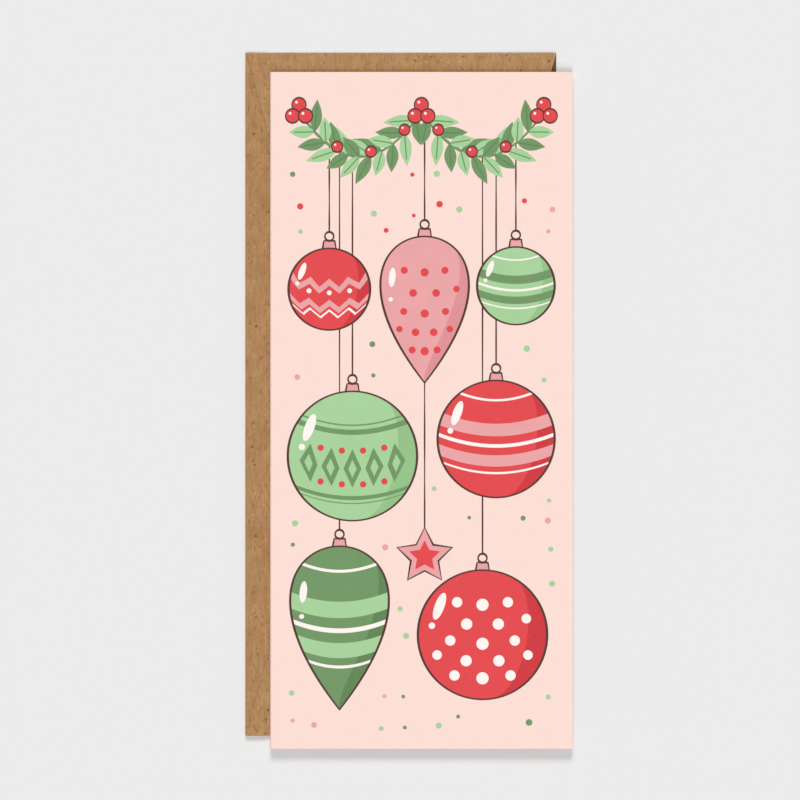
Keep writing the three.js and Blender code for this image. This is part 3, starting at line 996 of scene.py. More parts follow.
@dataclass
class FoldedCard:
    """The card: one sheet folded at the spine, with a note pocket turned up from its lower edge.

    Attributes:
        spring_deg: how far the cover springs open at rest.
        bend_mm: how far from the spine the cover bends for that.
        relief_step_mm: the run in which an outline steps in or out at the end of a fold.
        tab_taper_mm: how much shorter a pocket tab is at each end of its free edge.
        notch_radius_mm: the radius of the pocket's thumb notch.
        spine_at: where the spine crosses the unfolded sheet, known once that is built.
    """

    spring_deg: float = 0.12
    bend_mm: float = 9.0
    bend_steps: int = 6
    relief_step_mm: float = 0.3
    rows: int = 6
    tab_taper_mm: float = 2.0
    notch_radius_mm: float = 10.0
    notch_steps: int = 24
    cover: Box = packed("card_front_cover")
    spine: Box = packed("card_spine_fold")
    back: Box = packed("card_back_panel")
    panel: Box = packed("pocket_panel")
    crease: Box = packed("pocket_bottom_fold")
    tab: Box = packed("pocket_left_tab")
    spine_at: float = field(init=False)

    def rise(self, place_x: float) -> float:
        """Gives how far the cover springs up off its flat place.

        Args:
            place_x: the place across the cover.

        Returns:
            The rise, which grows evenly once the bend beside the spine has ended.
        """
        slope = math.tan(math.radians(self.spring_deg))
        bend = self.bend_mm * MM
        off = max(0.0, place_x - self.spine.right)
        return slope * (off * off / (2 * bend) if off < bend else off - bend / 2)

    def _place(self, place_x: float, place_z: float, across: float) -> Vector:
        """Places a point of the card's sheet, with the cover sprung up a little."""
        on_cover = place_z > (self.cover.base + self.back.crown) / 2
        return Vector((place_x, across, place_z + (self.rise(place_x) if on_cover else 0.0)))

    def on_front(self, across: float, up: float, lift: float) -> Vector:
        """Places a printed point, given from the front's lower left corner and by its height over it."""
        place_x = self.spine.left + across
        return Vector((place_x, self.cover.lower + up, self.cover.crown + self.rise(place_x) + lift))

    def build(self) -> Pieces:
        """Builds the card's sheet and its pocket, and gives them by name."""
        made = [self._sheet(), self._pocket(), self._crease()]
        return {piece.name: piece for piece in made}

    def _sheet(self) -> Piece:
        """Builds cover, spine and back as one folded sheet that opens with the cover.

        Returns:
            The sheet.
        """
        lower, upper = self.cover.lower, self.cover.upper
        radius = (self.cover.crown - self.back.base) / 2
        middle = (self.cover.crown + self.back.base) / 2
        width = self.cover.right - self.spine.right
        bend = self.bend_mm * MM
        sheet = FoldedSheet(self.cover.thickness)
        runs = [0.0, (width - bend) / 2, *even_steps(width - bend, width, self.bend_steps)]
        cuts = [(run, lower, upper) for run in runs]
        sheet.panel((self.cover.right, self.cover.crown), (-1, 0), (0, -1), cuts)
        spine_starts = len(sheet.stations) - 1
        sheet.fold((self.spine.right, middle), radius, (90, 270), (lower, upper))
        self.spine_at = sheet.fold_middle(spine_starts)
        step = self.relief_step_mm * MM
        relief = self.crease.upper
        first = self.crease.left - self.spine.right
        second = self.crease.right - self.spine.right
        cuts = [
            (0.0, lower, upper),
            (first - step, lower, upper),
            (first, relief, upper),
            (second, relief, upper),
            (second + step, lower, upper),
            (width, lower, upper),
        ]
        sheet.panel((self.spine.right, self.back.base), (1, 0), (0, 1), cuts)
        piece = sheet.piece("card_sheet", self._place, even_steps(0, 1, self.rows))
        start = (self.spine.left, 0.0, self.back.crown)
        end = (self.spine.left, 0.0, self.cover.base)
        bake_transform(piece, "card", "cover", start=start, end=end)
        return stands_for(piece, "card_stock", "card_front_cover", "card_spine_fold", "card_back_panel")

    def _pocket(self) -> Piece:
        """Builds the pocket's front with its thumb notch and the two tabs behind it.

        Returns:
            The pocket.
        """
        sheet = FoldedSheet(self.panel.thickness)
        taper = self.tab_taper_mm * MM
        step = self.relief_step_mm * MM
        radius = (self.panel.crown - self.tab.base) / 2
        middle = (self.panel.crown + self.tab.base) / 2
        reach = self.tab.right - self.tab.left
        span = (self.tab.lower, self.tab.upper)
        tapered = (self.tab.lower + taper, self.tab.upper - taper)
        cuts = [(0.0, *tapered), (reach, *span)]
        sheet.panel((self.panel.left + reach, self.tab.base), (-1, 0), (0, 1), cuts)
        sheet.fold((self.panel.left, middle), radius, (270, 90), span)
        width = self.panel.right - self.panel.left
        notch = self.notch_radius_mm * MM
        cuts = [(step, self.panel.lower, self.panel.upper)]
        for angle in even_steps(0, math.pi, self.notch_steps):
            run = width / 2 - notch * math.cos(angle)
            cuts.append((run, self.panel.lower, self.panel.upper - notch * math.sin(angle)))
        cuts.append((width - step, self.panel.lower, self.panel.upper))
        sheet.panel((self.panel.left, self.panel.crown), (1, 0), (0, -1), cuts)
        sheet.fold((self.panel.right, middle), radius, (90, -90), span)
        cuts = [(0.0, *span), (reach, *tapered)]
        sheet.panel((self.panel.right, self.tab.base), (-1, 0), (0, 1), cuts)
        piece = sheet.piece("pocket_sheet", across_y)
        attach(piece, "card")
        replaced = ("panel", "left_tab", "right_tab", "left_tab_fold", "right_tab_fold")
        return stands_for(piece, "card_stock", *(f"pocket_{name}" for name in replaced))

    def _crease(self) -> Piece:
        """Builds the fold where the pocket turns up from the back.

        Returns:
            The fold.
        """
        sheet = FoldedSheet(self.panel.thickness)
        radius = (self.crease.crown - self.crease.base) / 2
        middle = (self.crease.crown + self.crease.base) / 2
        sheet.fold((self.crease.upper, middle), radius, (270, 90), (self.crease.left, self.crease.right))
        piece = sheet.piece("pocket_bottom_crease", across_x)
        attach(piece, "card")
        return stands_for(piece, "card_stock", "pocket_bottom_fold")

    def dress(self, pieces: Pieces, effects: EffectGroups) -> None:
        """Gives the sheets their printed outside, plain inside and cut edges.

        Args:
            pieces: what build returned.
            effects: the shared groups.
        """
        outside = StockFinish("blush_front", BLUSH, 0.02, 0.02, 0.35, 0.012)
        inside = StockFinish("bare_inside", ink_colour(250, 245, 238), 0.03, 0.05, 0.1, 0.02)
        edge = StockFinish("cut_stock", ink_colour(238, 224, 214), 0.05, 0.08, 0.0, 0.02)
        materials = [finish.material(effects, self.spine_at) for finish in (outside, inside, edge)]
        for piece in pieces.values():
            dress(piece, materials)


@dataclass
class KraftEnvelope:
    """The envelope: one kraft sheet with two glued end flaps and a seal flap turned under the face.

    Attributes:
        corner_step_mm: the run in which the sheet's outline steps in or out beside a fold.
        corner_gap_mm: how much shorter the long folds are than the envelope at each end.
        edge_rise_mm: how far the end flaps spring up just beside the card's spine.
        flap_gap_mm: how much less the back springs up there.
        edge_reach_mm: how far from the spine that takes.
        side_rise_mm: how much more both spring up at the long fold.
        top_press_mm: how far they are pressed flat at the upper end.
        top_sag_mm: how far all layers sag to the table there.
        top_lead_mm: how far under the card's edge both start.
        throat_hold_mm: how far from the throat's edge its fold still holds the layers up.
        margin_steps: the number of flats in each such bend.
        end_lean_deg, seal_lean_deg: how far the flaps' sides lean in.
        end_rounding_mm, seal_rounding_mm: the radii of their corners.
        end_curl_mm: how far an end flap's free edge curls up.
        end_curl_reach_mm: how far from that edge the curl starts.
        end_reach_mm: how far an end flap reaches out over the seal fold.
        cut_line_mm: how much of an end flap's side shows the pale cut.
        seal_notch_deg: half the turn of the seal fold in which its outline steps out to the envelope's ends.
        gum_wave_mm: how far the gum's edges swing.
        gum_film_mm: how far the gum stands proud of the flap.
        gum_bite: how deep it sits in the paper, as a share of that.
        gum_blunt: how blunt its round ends are.
        face_from: where the face starts on the unfolded sheet, known once that is built.
        long_fold_at: where the middle of the long fold lies on it.
    """

    corner_step_mm: float = 0.3
    corner_gap_mm: float = 0.08
    edge_rise_mm: float = 0.3
    flap_gap_mm: float = 0.2
    edge_reach_mm: float = 2.0
    side_rise_mm: float = 0.19
    top_press_mm: float = 0.34
    top_sag_mm: float = 0.3
    top_lead_mm: float = 4.0
    throat_hold_mm: float = 25.0
    margin_steps: int = 8
    end_lean_deg: float = 15.0
    end_rounding_mm: float = 4.0
    end_curl_mm: float = 0.14
    end_curl_reach_mm: float = 7.0
    end_reach_mm: float = 0.22
    cut_line_mm: float = 0.4
    seal_lean_deg: float = 20.0
    seal_rounding_mm: float = 6.0
    seal_notch_deg: float = 10.0
    gum_wave_mm: float = 0.35
    gum_film_mm: float = 0.006
    gum_bite: float = 0.5
    gum_blunt: float = 0.06
    gum_steps: int = 120
    face: Box = packed("envelope_face")
    back: Box = packed("envelope_back")
    long_fold: Box = packed("envelope_left_fold")
    lower_fold: Box = packed("envelope_lower_end_fold")
    upper_fold: Box = packed("envelope_upper_end_fold")
    upper_flap: Box = packed("envelope_upper_end_flap")
    flap: Box = packed("envelope_seal_flap")
    gum: Box = packed("seal_gum_strip")
    card_spine: Box = packed("card_spine_fold")
    face_from: float = field(init=False)
    long_fold_at: float = field(init=False)

    def build(self) -> Pieces:
        """Builds the envelope's sheets and its gum, and gives them by name."""
        made = [self._sheet(), self._end_flap("upper", 1), self._end_flap("lower", -1), self._gum_band()]
        return {piece.name: piece for piece in made}

    @property
    def free_from(self) -> float:
        """The place up the front from which the upper end lies free."""
        return self.card_spine.upper - self.top_lead_mm * MM

    def sprung(self, place: Vector) -> Vector:
        """Moves a point of the flat envelope to where the paper springs or sags.

        Args:
            place: the point.

        Returns:
            The point, higher towards the long fold and lower towards the upper end.
        """
        beside = self.card_spine.left - place.x
        side = smooth(beside / (self.card_spine.left - self.long_fold.left))
        top = smooth((place.y - self.free_from) / (self.upper_fold.upper - self.free_from))
        on_back = 1.0 - share_between(place.z, self.back.crown, self.upper_flap.base)
        rise = (self.edge_rise_mm - self.flap_gap_mm * on_back) * smooth(beside / (self.edge_reach_mm * MM))
        rise += self.side_rise_mm * side
        upper_layers = share_between(place.z, self.face.crown, self.back.base)
        held = smooth((self.back.right - place.x) / (self.throat_hold_mm * MM))
        over_flap = share_between(place.z, self.flap.crown, self.face.base)
        lift = (rise - self.top_press_mm * top) * upper_layers - self.top_sag_mm * top * held * over_flap
        return place + Vector((0.0, 0.0, lift * MM))

    def _sprung_y(self, place_x: float, place_z: float, across: float) -> Vector:
        """Places a point of the sheet whose folds run along Y."""
        return self.sprung(across_y(place_x, place_z, across))

    def _sheet(self) -> Piece:
        """Builds seal flap, face and back as one folded sheet whose flap opens.

        Returns:
            The sheet.
        """
        sheet = FoldedSheet(self.face.thickness)
        step = self.corner_step_mm * MM
        gap = self.corner_gap_mm * MM
        notch_deg = self.seal_notch_deg
        flap_span = (self.flap.lower, self.flap.upper)
        face_span = (self.face.lower, self.face.upper)
        back_span = (self.back.lower, self.back.upper)
        corner_span = (self.lower_fold.lower + gap, self.upper_fold.upper - gap)
        side = leaning_side(self.flap.right - self.flap.left, self.seal_lean_deg, self.seal_rounding_mm * MM)
        cuts = [(run, flap_span[0] + inset, flap_span[1] - inset) for run, inset in side]
        sheet.panel((self.flap.left, self.flap.crown), (1, 0), (0, -1), cuts)
        hinge = (self.flap.base + self.face.crown) / 2
        for turn_deg, span in (((-90, -notch_deg), flap_span), ((notch_deg, 90), corner_span)):
            sheet.fold((self.flap.right, hinge), self.face.base - hinge, turn_deg, span, FOLD_STEPS // 2)
        self.face_from = sheet.stations[-1].along
        width = self.face.right - self.face.left
        hold = self.throat_hold_mm * MM
        throat = self.face.right - self.back.right
        runs = [step, *even_steps(throat, throat + hold, self.margin_steps), width - step]
        sheet.panel((self.face.right, self.face.base), (-1, 0), (0, 1), [(run, *face_span) for run in runs])
        middle = (self.face.base + self.back.crown) / 2
        radius = (self.back.crown - self.face.base) / 2
        fold_starts = len(sheet.stations)
        sheet.fold((self.face.left, middle), radius, (270, 90), corner_span)
        self.long_fold_at = sheet.fold_middle(fold_starts)
        margin = self.card_spine.left - self.back.left
        near = margin - self.edge_reach_mm * MM
        runs = [*even_steps(step, near, 3), *even_steps(near, margin, self.margin_steps)[1:]]
        width = self.back.right - self.back.left
        runs += even_steps(width - hold, width, self.margin_steps)
        sheet.panel((self.back.left, self.back.crown), (1, 0), (0, -1), [(run, *back_span) for run in runs])
        free = (self.free_from - self.back.lower) / (self.back.upper - self.back.lower)
        rows = [*even_steps(0, free, 4), *even_steps(free, 1, self.margin_steps)[1:]]
        piece = sheet.piece("envelope_sheet", self._sprung_y, rows)
        start = (self.flap.right, 0.0, self.face.base)
        end = (self.flap.right, 0.0, self.flap.crown)
        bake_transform(piece, "envelope", "seal_flap", start=start, end=end)
        replaced = ("face", "back", "seal_flap", "left_fold", "seal_flap_fold")
        return stands_for(piece, "kraft_paper", *(f"envelope_{name}" for name in replaced))

    def _end_flap(self, end: str, way: int) -> Piece:
        """Builds one end flap with its fold.

        Args:
            end: upper or lower.
            way: the direction from its free edge to its fold, 1 for up the front.

        Returns:
            The flap.
        """
        panel = Box.of(f"envelope_{end}_end_flap")
        depth = panel.upper - panel.lower
        free, folded = (panel.lower, panel.upper) if way > 0 else (panel.upper, panel.lower)
        sheet = FoldedSheet(panel.thickness)
        side = leaning_side(depth, self.end_lean_deg, self.end_rounding_mm * MM)
        curl_reach = self.end_curl_reach_mm * MM
        margin = depth - (self.upper_fold.upper - self.free_from)
        runs = even_steps(side[-2][0], curl_reach, self.margin_steps)[1:]
        runs += even_steps(margin, depth, self.margin_steps)[:-1]
        outline = sorted([*side, *self._on_side(side, runs)])
        right = panel.right + self.end_reach_mm * MM
        cuts = [(run, panel.left + inset, right - inset) for run, inset in outline]
        sheet.panel((free, panel.crown), (way, 0), (0, -1), cuts)
        middle = (panel.crown + self.face.base) / 2
        radius = (panel.crown - self.face.base) / 2
        turn_deg = (90, -90) if way > 0 else (90, 270)
        sheet.fold((folded, middle), radius, turn_deg, (panel.left, right))
        length = sheet.stations[-1].along

        def curled(place_y: float, place_z: float, across: float) -> Vector:
            """Places a point with the free edge curled up a little."""
            share = max(0.0, 1.0 - abs(place_y - free) / curl_reach)
            return self.sprung(across_x(place_y, place_z + self.end_curl_mm * MM * share * share, across))

        def on_sheet(along: float, across: float) -> Point:
            """Maps a point to where it lies on the unfolded envelope, beyond the face's end."""
            return self.face_from + self.face.right - across, folded + way * (length - along)

        free_to = (self.card_spine.left - panel.left) / (right - panel.left)
        near = free_to - self.edge_reach_mm * MM / (right - panel.left)
        rows = [*even_steps(0, near, 3), *even_steps(near, free_to, self.margin_steps)[1:]]
        rows += even_steps(free_to, 1, 2 * self.margin_steps)[1:]
        piece = sheet.piece(f"{end}_end_flap_sheet", curled, rows, on_sheet, self.cut_line_mm * MM)
        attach(piece, "envelope")
        return stands_for(piece, "kraft_paper", f"envelope_{end}_end_flap", f"envelope_{end}_end_fold")

    @staticmethod
    def _on_side(side: Outline, runs: Sequence[float]) -> Outline:
        """Gives points on the straight part of a flap's side, at some distances from its free edge."""
        (near, near_inset), (far, far_inset) = side[-2], side[-1]
        return [(run, near_inset + (far_inset - near_inset) * (run - near) / (far - near)) for run in runs]

    def _gum_swing(self, run: float, fast: float, slow: float, start: float) -> float:
        """Gives how far an edge of the gum swings out at a place along it."""
        return self.gum_wave_mm * MM * math.sin(run * fast + start) * math.cos(run * slow)

    def _gum_band(self) -> Piece:
        """Builds the band of dried gum on the flap's inside, with the uneven edges of a roller.

        Returns:
            The band.
        """
        film = self.gum_film_mm * MM
        ends = (self.gum.right - self.gum.left) / 4
        length = self.gum.upper - self.gum.lower
        middle = (self.gum.left + self.gum.right) / 2
        half = (self.gum.right - self.gum.left) / 2
        sheet = FoldedSheet(film * (1 + self.gum_bite))
        cuts = []
        for run in even_steps(0, length, self.gum_steps):
            near = min(run, length - run)
            share = 1.0 if near > ends else math.sqrt(max(self.gum_blunt, 1 - (1 - near / ends) ** 2))
            left = half * share + self._gum_swing(run, fast=310, slow=127, start=0.0)
            right = half * share + self._gum_swing(run, fast=253, slow=91, start=1.3)
            cuts.append((run, middle - left, middle + right))
        sheet.panel((self.gum.lower, -film), (1, 0), (0, 1), cuts)
        piece = sheet.piece("gum_band", across_x)
        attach(piece, "seal_flap")
        return stands_for(piece, "dry_gum", "seal_gum_strip")

    def dress(self, pieces: Pieces, effects: EffectGroups, nodes: Pieces) -> None:
        """Gives the sheets, the gum and the glue in the seams their materials.

        Args:
            pieces: what build returned.
            effects: the shared groups.
            nodes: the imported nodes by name.
        """
        # The middle of an end fold lies half its arc beyond the face.
        bend = math.pi / 4 * (self.upper_fold.crown - self.upper_fold.base - self.face.thickness)
        folds = FoldMap(self.face_from, self.long_fold_at, self.face.lower - bend, self.face.upper + bend)
        krafts = (
            KraftFinish("kraft_outside", ink_colour(173, 131, 88)),
            KraftFinish("kraft_end_flaps", ink_colour(176, 135, 91)),
            # The inside carries painted shade in the throat, from the seal fold inwards.
            KraftFinish("kraft_inside", ink_colour(158, 118, 78), throat_shade_paint=0.62),
            KraftFinish("cut_kraft", ink_colour(196, 157, 122)),
        )
        outside, end_outside, inside, edge = (kraft.material(effects, folds) for kraft in krafts)
        gum = GumFinish("dried_gum", ink_colour(184, 142, 92), ink_colour(206, 166, 112), 0.22, 0.4)
        glue = GumFinish("seam_glue", ink_colour(228, 219, 198), ink_colour(240, 233, 216), 0.4, 0.1)
        dress(pieces["envelope_sheet"], [outside, inside, edge])
        for end in ("upper", "lower"):
            dress(pieces[f"{end}_end_flap_sheet"], [end_outside, inside, edge])
        dress(pieces["gum_band"], [gum.material(effects)] * len(Side))
        glue_material = glue.material(effects)
        for name, node in nodes.items():
            if name.endswith("_glue"):
                dress(node, [glue_material])


class Ink(Enum):
    """The inks of the print."""

    RED = InkFinish("ink_red", ink_colour(227, 73, 77))
    DEEP_RED = InkFinish("ink_deep_red", ink_colour(206, 56, 62))
    PINK = InkFinish("ink_pink", ink_colour(235, 165, 166))
    DEEP_PINK = InkFinish("ink_deep_pink", ink_colour(222, 146, 150))
    MINT = InkFinish("ink_mint", ink_colour(168, 210, 155))
    DEEP_MINT = InkFinish("ink_deep_mint", ink_colour(148, 194, 136))
    GREEN = InkFinish("ink_green", ink_colour(114, 150, 101))
    DEEP_GREEN = InkFinish("ink_deep_green", ink_colour(97, 133, 86))
    BROWN = InkFinish("ink_brown", ink_colour(80, 53, 46))
    IVORY = InkFinish("ink_ivory", ink_colour(255, 246, 240))

    @property
    def deep(self) -> "Ink":
        """The darker ink of the same colour."""
        return Ink[f"DEEP_{self.name}"]


class Layer(IntEnum):
    """The heights of the printed shapes over the paper, in micrometres.

    Leaves and berries lie over each other in steps above their own height.
    """

    STRING = 6
    STEM = 9
    LEAF = 12
    BODY = 13
    SHADE = 17
    MOTIF = 21
    DETAIL = 25
    GLINT = 29
    CAP = 31
    LINE = 34
    BERRY = 48


def turned(base: Point, angle: float, along: float, off: float = 0.0) -> Point:
    """Gives the point that lies along a direction from a base, and off to its left."""
    ahead = math.cos(angle), math.sin(angle)
    return base[0] + ahead[0] * along - ahead[1] * off, base[1] + ahead[1] * along + ahead[0] * off


def oval(centre: Point, length: float, width: float, angle: float, points: int = 24) -> Outline:
    """Gives an ellipse by its middle, its length, its width and the direction in which it is longest."""
    turns = even_steps(0, 2 * math.pi, points)[:-1]
    return [turned(centre, angle, length / 2 * math.cos(turn), width / 2 * math.sin(turn)) for turn in turns]


def ring(centre: Point, radius: float, points: int = 24) -> Outline:
    """Gives a circle as points."""
    return oval(centre, 2 * radius, 2 * radius, 0.0, points)


def star(centre: Point, outer: float, inner: float, spikes: int = 5) -> Outline:
    """Gives a star with one spike up, by its middle, the radius of its spikes and the one between them."""
    corners = range(2 * spikes)
    return [turned(centre, math.pi * (0.5 + n / spikes), inner if n % 2 else outer) for n in corners]


def leaf(base: Point, angle: float, length: float, width: float, steps: int = 9) -> Outline:
    """Gives a pointed leaf.

    Args:
        base: where it leaves its stem.
        angle: the direction in which it points.
        length: its length.
        width: its greatest width.
        steps: the number of flats on each side.

    Returns:
        The outline.
    """
    fullness = 0.85
    sides = []
    for way, shares in ((1, even_steps(0, 1, steps)), (-1, even_steps(1, 0, steps))):
        for share in shares[:-1]:
            off = way * width / 2 * math.sin(math.pi * share ** fullness)
            sides.append(turned(base, angle, length * share, off))
    return sides


def rounded(corners: Outline, near: float = 0.15) -> Outline:
    """Adds points to a path, so that a line along it keeps its width up to the corners.

    Args:
        corners: the path's corners.
        near: how far from a corner the next point lies, as a share of the run between two corners.

    Returns:
        The corners, with two more points on each run.
    """
    path = [corners[0]]
    for start, end in zip(corners, corners[1:]):
        for share in (near, 1.0 - near, 1.0):
            path.append((start[0] + (end[0] - start[0]) * share, start[1] + (end[1] - start[1]) * share))
    return path


def stroke(path: Outline, width: float, closed: bool, press: float = 0.2) -> tuple[Outline, Outline]:
    """Gives the two sides of a line drawn along a path by a hand that presses unevenly.

    Args:
        path: the points that it follows.
        width: its mean width.
        closed: whether it joins its own start.
        press: how far the width changes, as a share of it.

    Returns:
        The points of its left and of its right side.
    """
    left, right = [], []
    count = len(path)
    for number, point in enumerate(path):
        before = path[number - 1] if number or closed else point
        after = path[(number + 1) % count] if number < count - 1 or closed else point
        half = width / 2 * (1 + press * math.sin(4 * math.pi * number / count + count))
        scale = half / math.dist(before, after)
        off = (before[1] - after[1]) * scale, (after[0] - before[0]) * scale
        left.append((point[0] + off[0], point[1] + off[1]))
        right.append((point[0] - off[0], point[1] - off[1]))
    return left, right


@dataclass
class InkFilm:
    """All shapes of one ink, gathered as thin closed films.

    Attributes:
        place: turns a point of the front and a height over it into a point in the frame.
        sink_mm: how deep the films sit in the paper.
    """

    ink: Ink
    place: Place
    sink_mm: float = 0.004
    shape: Mesh = field(default_factory=bmesh.new)

    def _levels(self, outline: Outline, height: float) -> tuple[list[Corner], list[Corner]]:
        """Adds the points of an outline in the paper and over it.

        Args:
            outline: the outline in millimetres.
            height: the upper points' height in micrometres.

        Returns:
            The lower and the upper points.
        """
        low, high = [], []
        for across, up in outline:
            low.append(self.shape.verts.new(self.place(across * MM, up * MM, -self.sink_mm * MM)))
            high.append(self.shape.verts.new(self.place(across * MM, up * MM, height * MM * MM)))
        return low, high

    def area(self, outline: Outline, height: float) -> None:
        """Prints a filled shape.

        Args:
            outline: its outline in millimetres.
            height: its height in micrometres.
        """
        low, high = self._levels(outline, height)
        self.shape.faces.new(high)
        self.shape.faces.new(low[::-1])
        for number in range(len(outline)):
            self.shape.faces.new((low[number - 1], low[number], high[number], high[number - 1]))

    def line(self, path: Outline, width: float, height: float, closed: bool = False) -> None:
        """Prints a line along a path.

        Args:
            path: the points that it follows.
            width: its width in millimetres.
            height: its height in micrometres.
            closed: whether it joins its own start.
        """
        left, right = stroke(path, width, closed)
        left_low, left_high = self._levels(left, height)
        right_low, right_high = self._levels(right, height)
        first = 0 if closed else 1
        for number in range(first, len(path)):
            before = number - 1
            for near, far in (
                (left_high, right_high),
                (right_low, left_low),
                (left_low, left_high),
                (right_high, right_low),
            ):
                self.shape.faces.new((near[before], near[number], far[number], far[before]))
        if not closed:
            for end in (0, -1):
                self.shape.faces.new((left_low[end], left_high[end], right_high[end], right_low[end]))

    def piece(self) -> Piece:
        """Makes the film's mesh, which rides on the cover."""
        bmesh.ops.recalc_face_normals(self.shape, faces=self.shape.faces)
        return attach(new_piece(self.ink.value.name, self.shape), "cover")


class Body(Enum):
    """The forms of a hanging ornament."""

    BALL = "ball"
    DROP = "drop"


class Motif(Enum):
    """The patterns round an ornament."""

    RINGS = "rings"
    ZIGZAG = "zigzag"
    DOTS = "dots"
    DIAMONDS = "diamonds"


@dataclass(frozen=True)
class Ornament:
    """One hanging ornament.

    Attributes:
        across, up: its middle, from the card's lower left corner.
        half_width, half_height: half its size.
        body, motif: its form and the pattern round it.
        fill: the ink of its body.
        trim, accent: the pattern's main and second ink.
        droop: how far its rows droop as they go round, as a share of its width there.
    """

    across: float
    up: float
    half_width: float
    half_height: float
    body: Body
    motif: Motif
    fill: Ink
    trim: Ink
    accent: Ink
    droop: float = 0.2

    def reach(self, height: float) -> float:
        """Gives half the body's width at a height.

        Args:
            height: from -1, its lower end, to 1, its top.

        Returns:
            Half the width, which on a drop is greatest a third of the way from its middle to its top.
        """
        if self.body is Body.BALL:
            return self.half_width * math.sqrt(max(0.0, 1 - height * height))
        widest = 1 / 3
        fullest = (1 + widest) * math.sqrt(1 - widest)
        return self.half_width * (1 + height) * math.sqrt(max(0.0, 1 - height)) / fullest

    def on_edge(self, side: float, height: float) -> Point:
        """Gives the point at a share of the body's half width, straight across at a height."""
        return self.across + side * self.reach(height), self.up + height * self.half_height

    def covers(self, across: float, up: float, gap: float) -> bool:
        """Tells whether a point lies on the ornament or within a gap of it, or on its cap."""
        off = (across - self.across) / (self.half_width + gap), (up - self.up) / (self.half_height + 2 * gap)
        return math.hypot(*off) < 1

    def at(self, side: float, height: float) -> Point:
        """Gives a point of the body by side and height, each from -1 to 1, with its row's droop."""
        across, up = self.on_edge(side, height)
        return across, up - self.droop * self.reach(height) * (1 - side * side)

    def outline(self, steps: int = 40) -> Outline:
        """Follows the body's edge, up its right side and down its left."""
        heights = [-math.cos(angle) for angle in even_steps(0, math.pi, steps)]
        return [self.on_edge(1, h) for h in heights[:-1]] + [self.on_edge(-1, h) for h in heights[:0:-1]]

    def shade(self, width: float = 0.32, round_deg: Point = (-82.0, 56.0), steps: int = 28) -> Outline:
        """Gives the sickle of shade along the body's right side.

        Args:
            width: how far it swells towards the middle, as a share of the half width.
            round_deg: how far round the side it starts and ends, with -90 at the lower end.
            steps: the number of flats on each of its edges.

        Returns:
            The outline.
        """
        outer, inner = [], []
        for number, angle_deg in enumerate(even_steps(*round_deg, steps)):
            edge = self.on_edge(1, math.sin(math.radians(angle_deg)))
            swell = width * self.half_width * math.sin(math.pi * number / steps)
            outer.append(edge)
            inner.append((edge[0] - swell, edge[1]))
        return outer + inner[-2:0:-1]

    def glints(self) -> list[Outline]:
        """Gives the shine on the body's upper left.

        Returns:
            The outlines of the long glint and of the small one under it.
        """
        side, low_side = -0.74, -0.79
        low, high = self.on_edge(side, 0.3), self.on_edge(side, 0.58)
        along = math.atan2(high[1] - low[1], high[0] - low[0])
        long = oval(self.on_edge(side, 0.44), 0.44 * self.half_width, 0.15 * self.half_width, along)
        return [long, ring(self.on_edge(low_side, 0.14), 0.05 * self.half_width, 16)]

    def band(self, low: Callable[[float], float], high: Callable[[float], float], steps: int = 40) -> Outline:
        """Gives a band round the body between two heights that may change from side to side."""
        sides = even_steps(-1, 1, steps)
        return [self.at(s, high(s)) for s in sides] + [self.at(s, low(s)) for s in reversed(sides)]

    def even_band(self, low: float, high: float) -> Outline:
        """Gives a band of even height round the body."""
        return self.band(lambda side: low, lambda side: high)

    def diamond(self, side: float, width: float, height: float) -> Outline:
        """Gives a diamond on the body's middle line, by its place and half its width and height."""
        corners = ((-width, 0.0), (0.0, -height), (width, 0.0), (0.0, height))
        return [self.at(side + across, up) for across, up in corners]


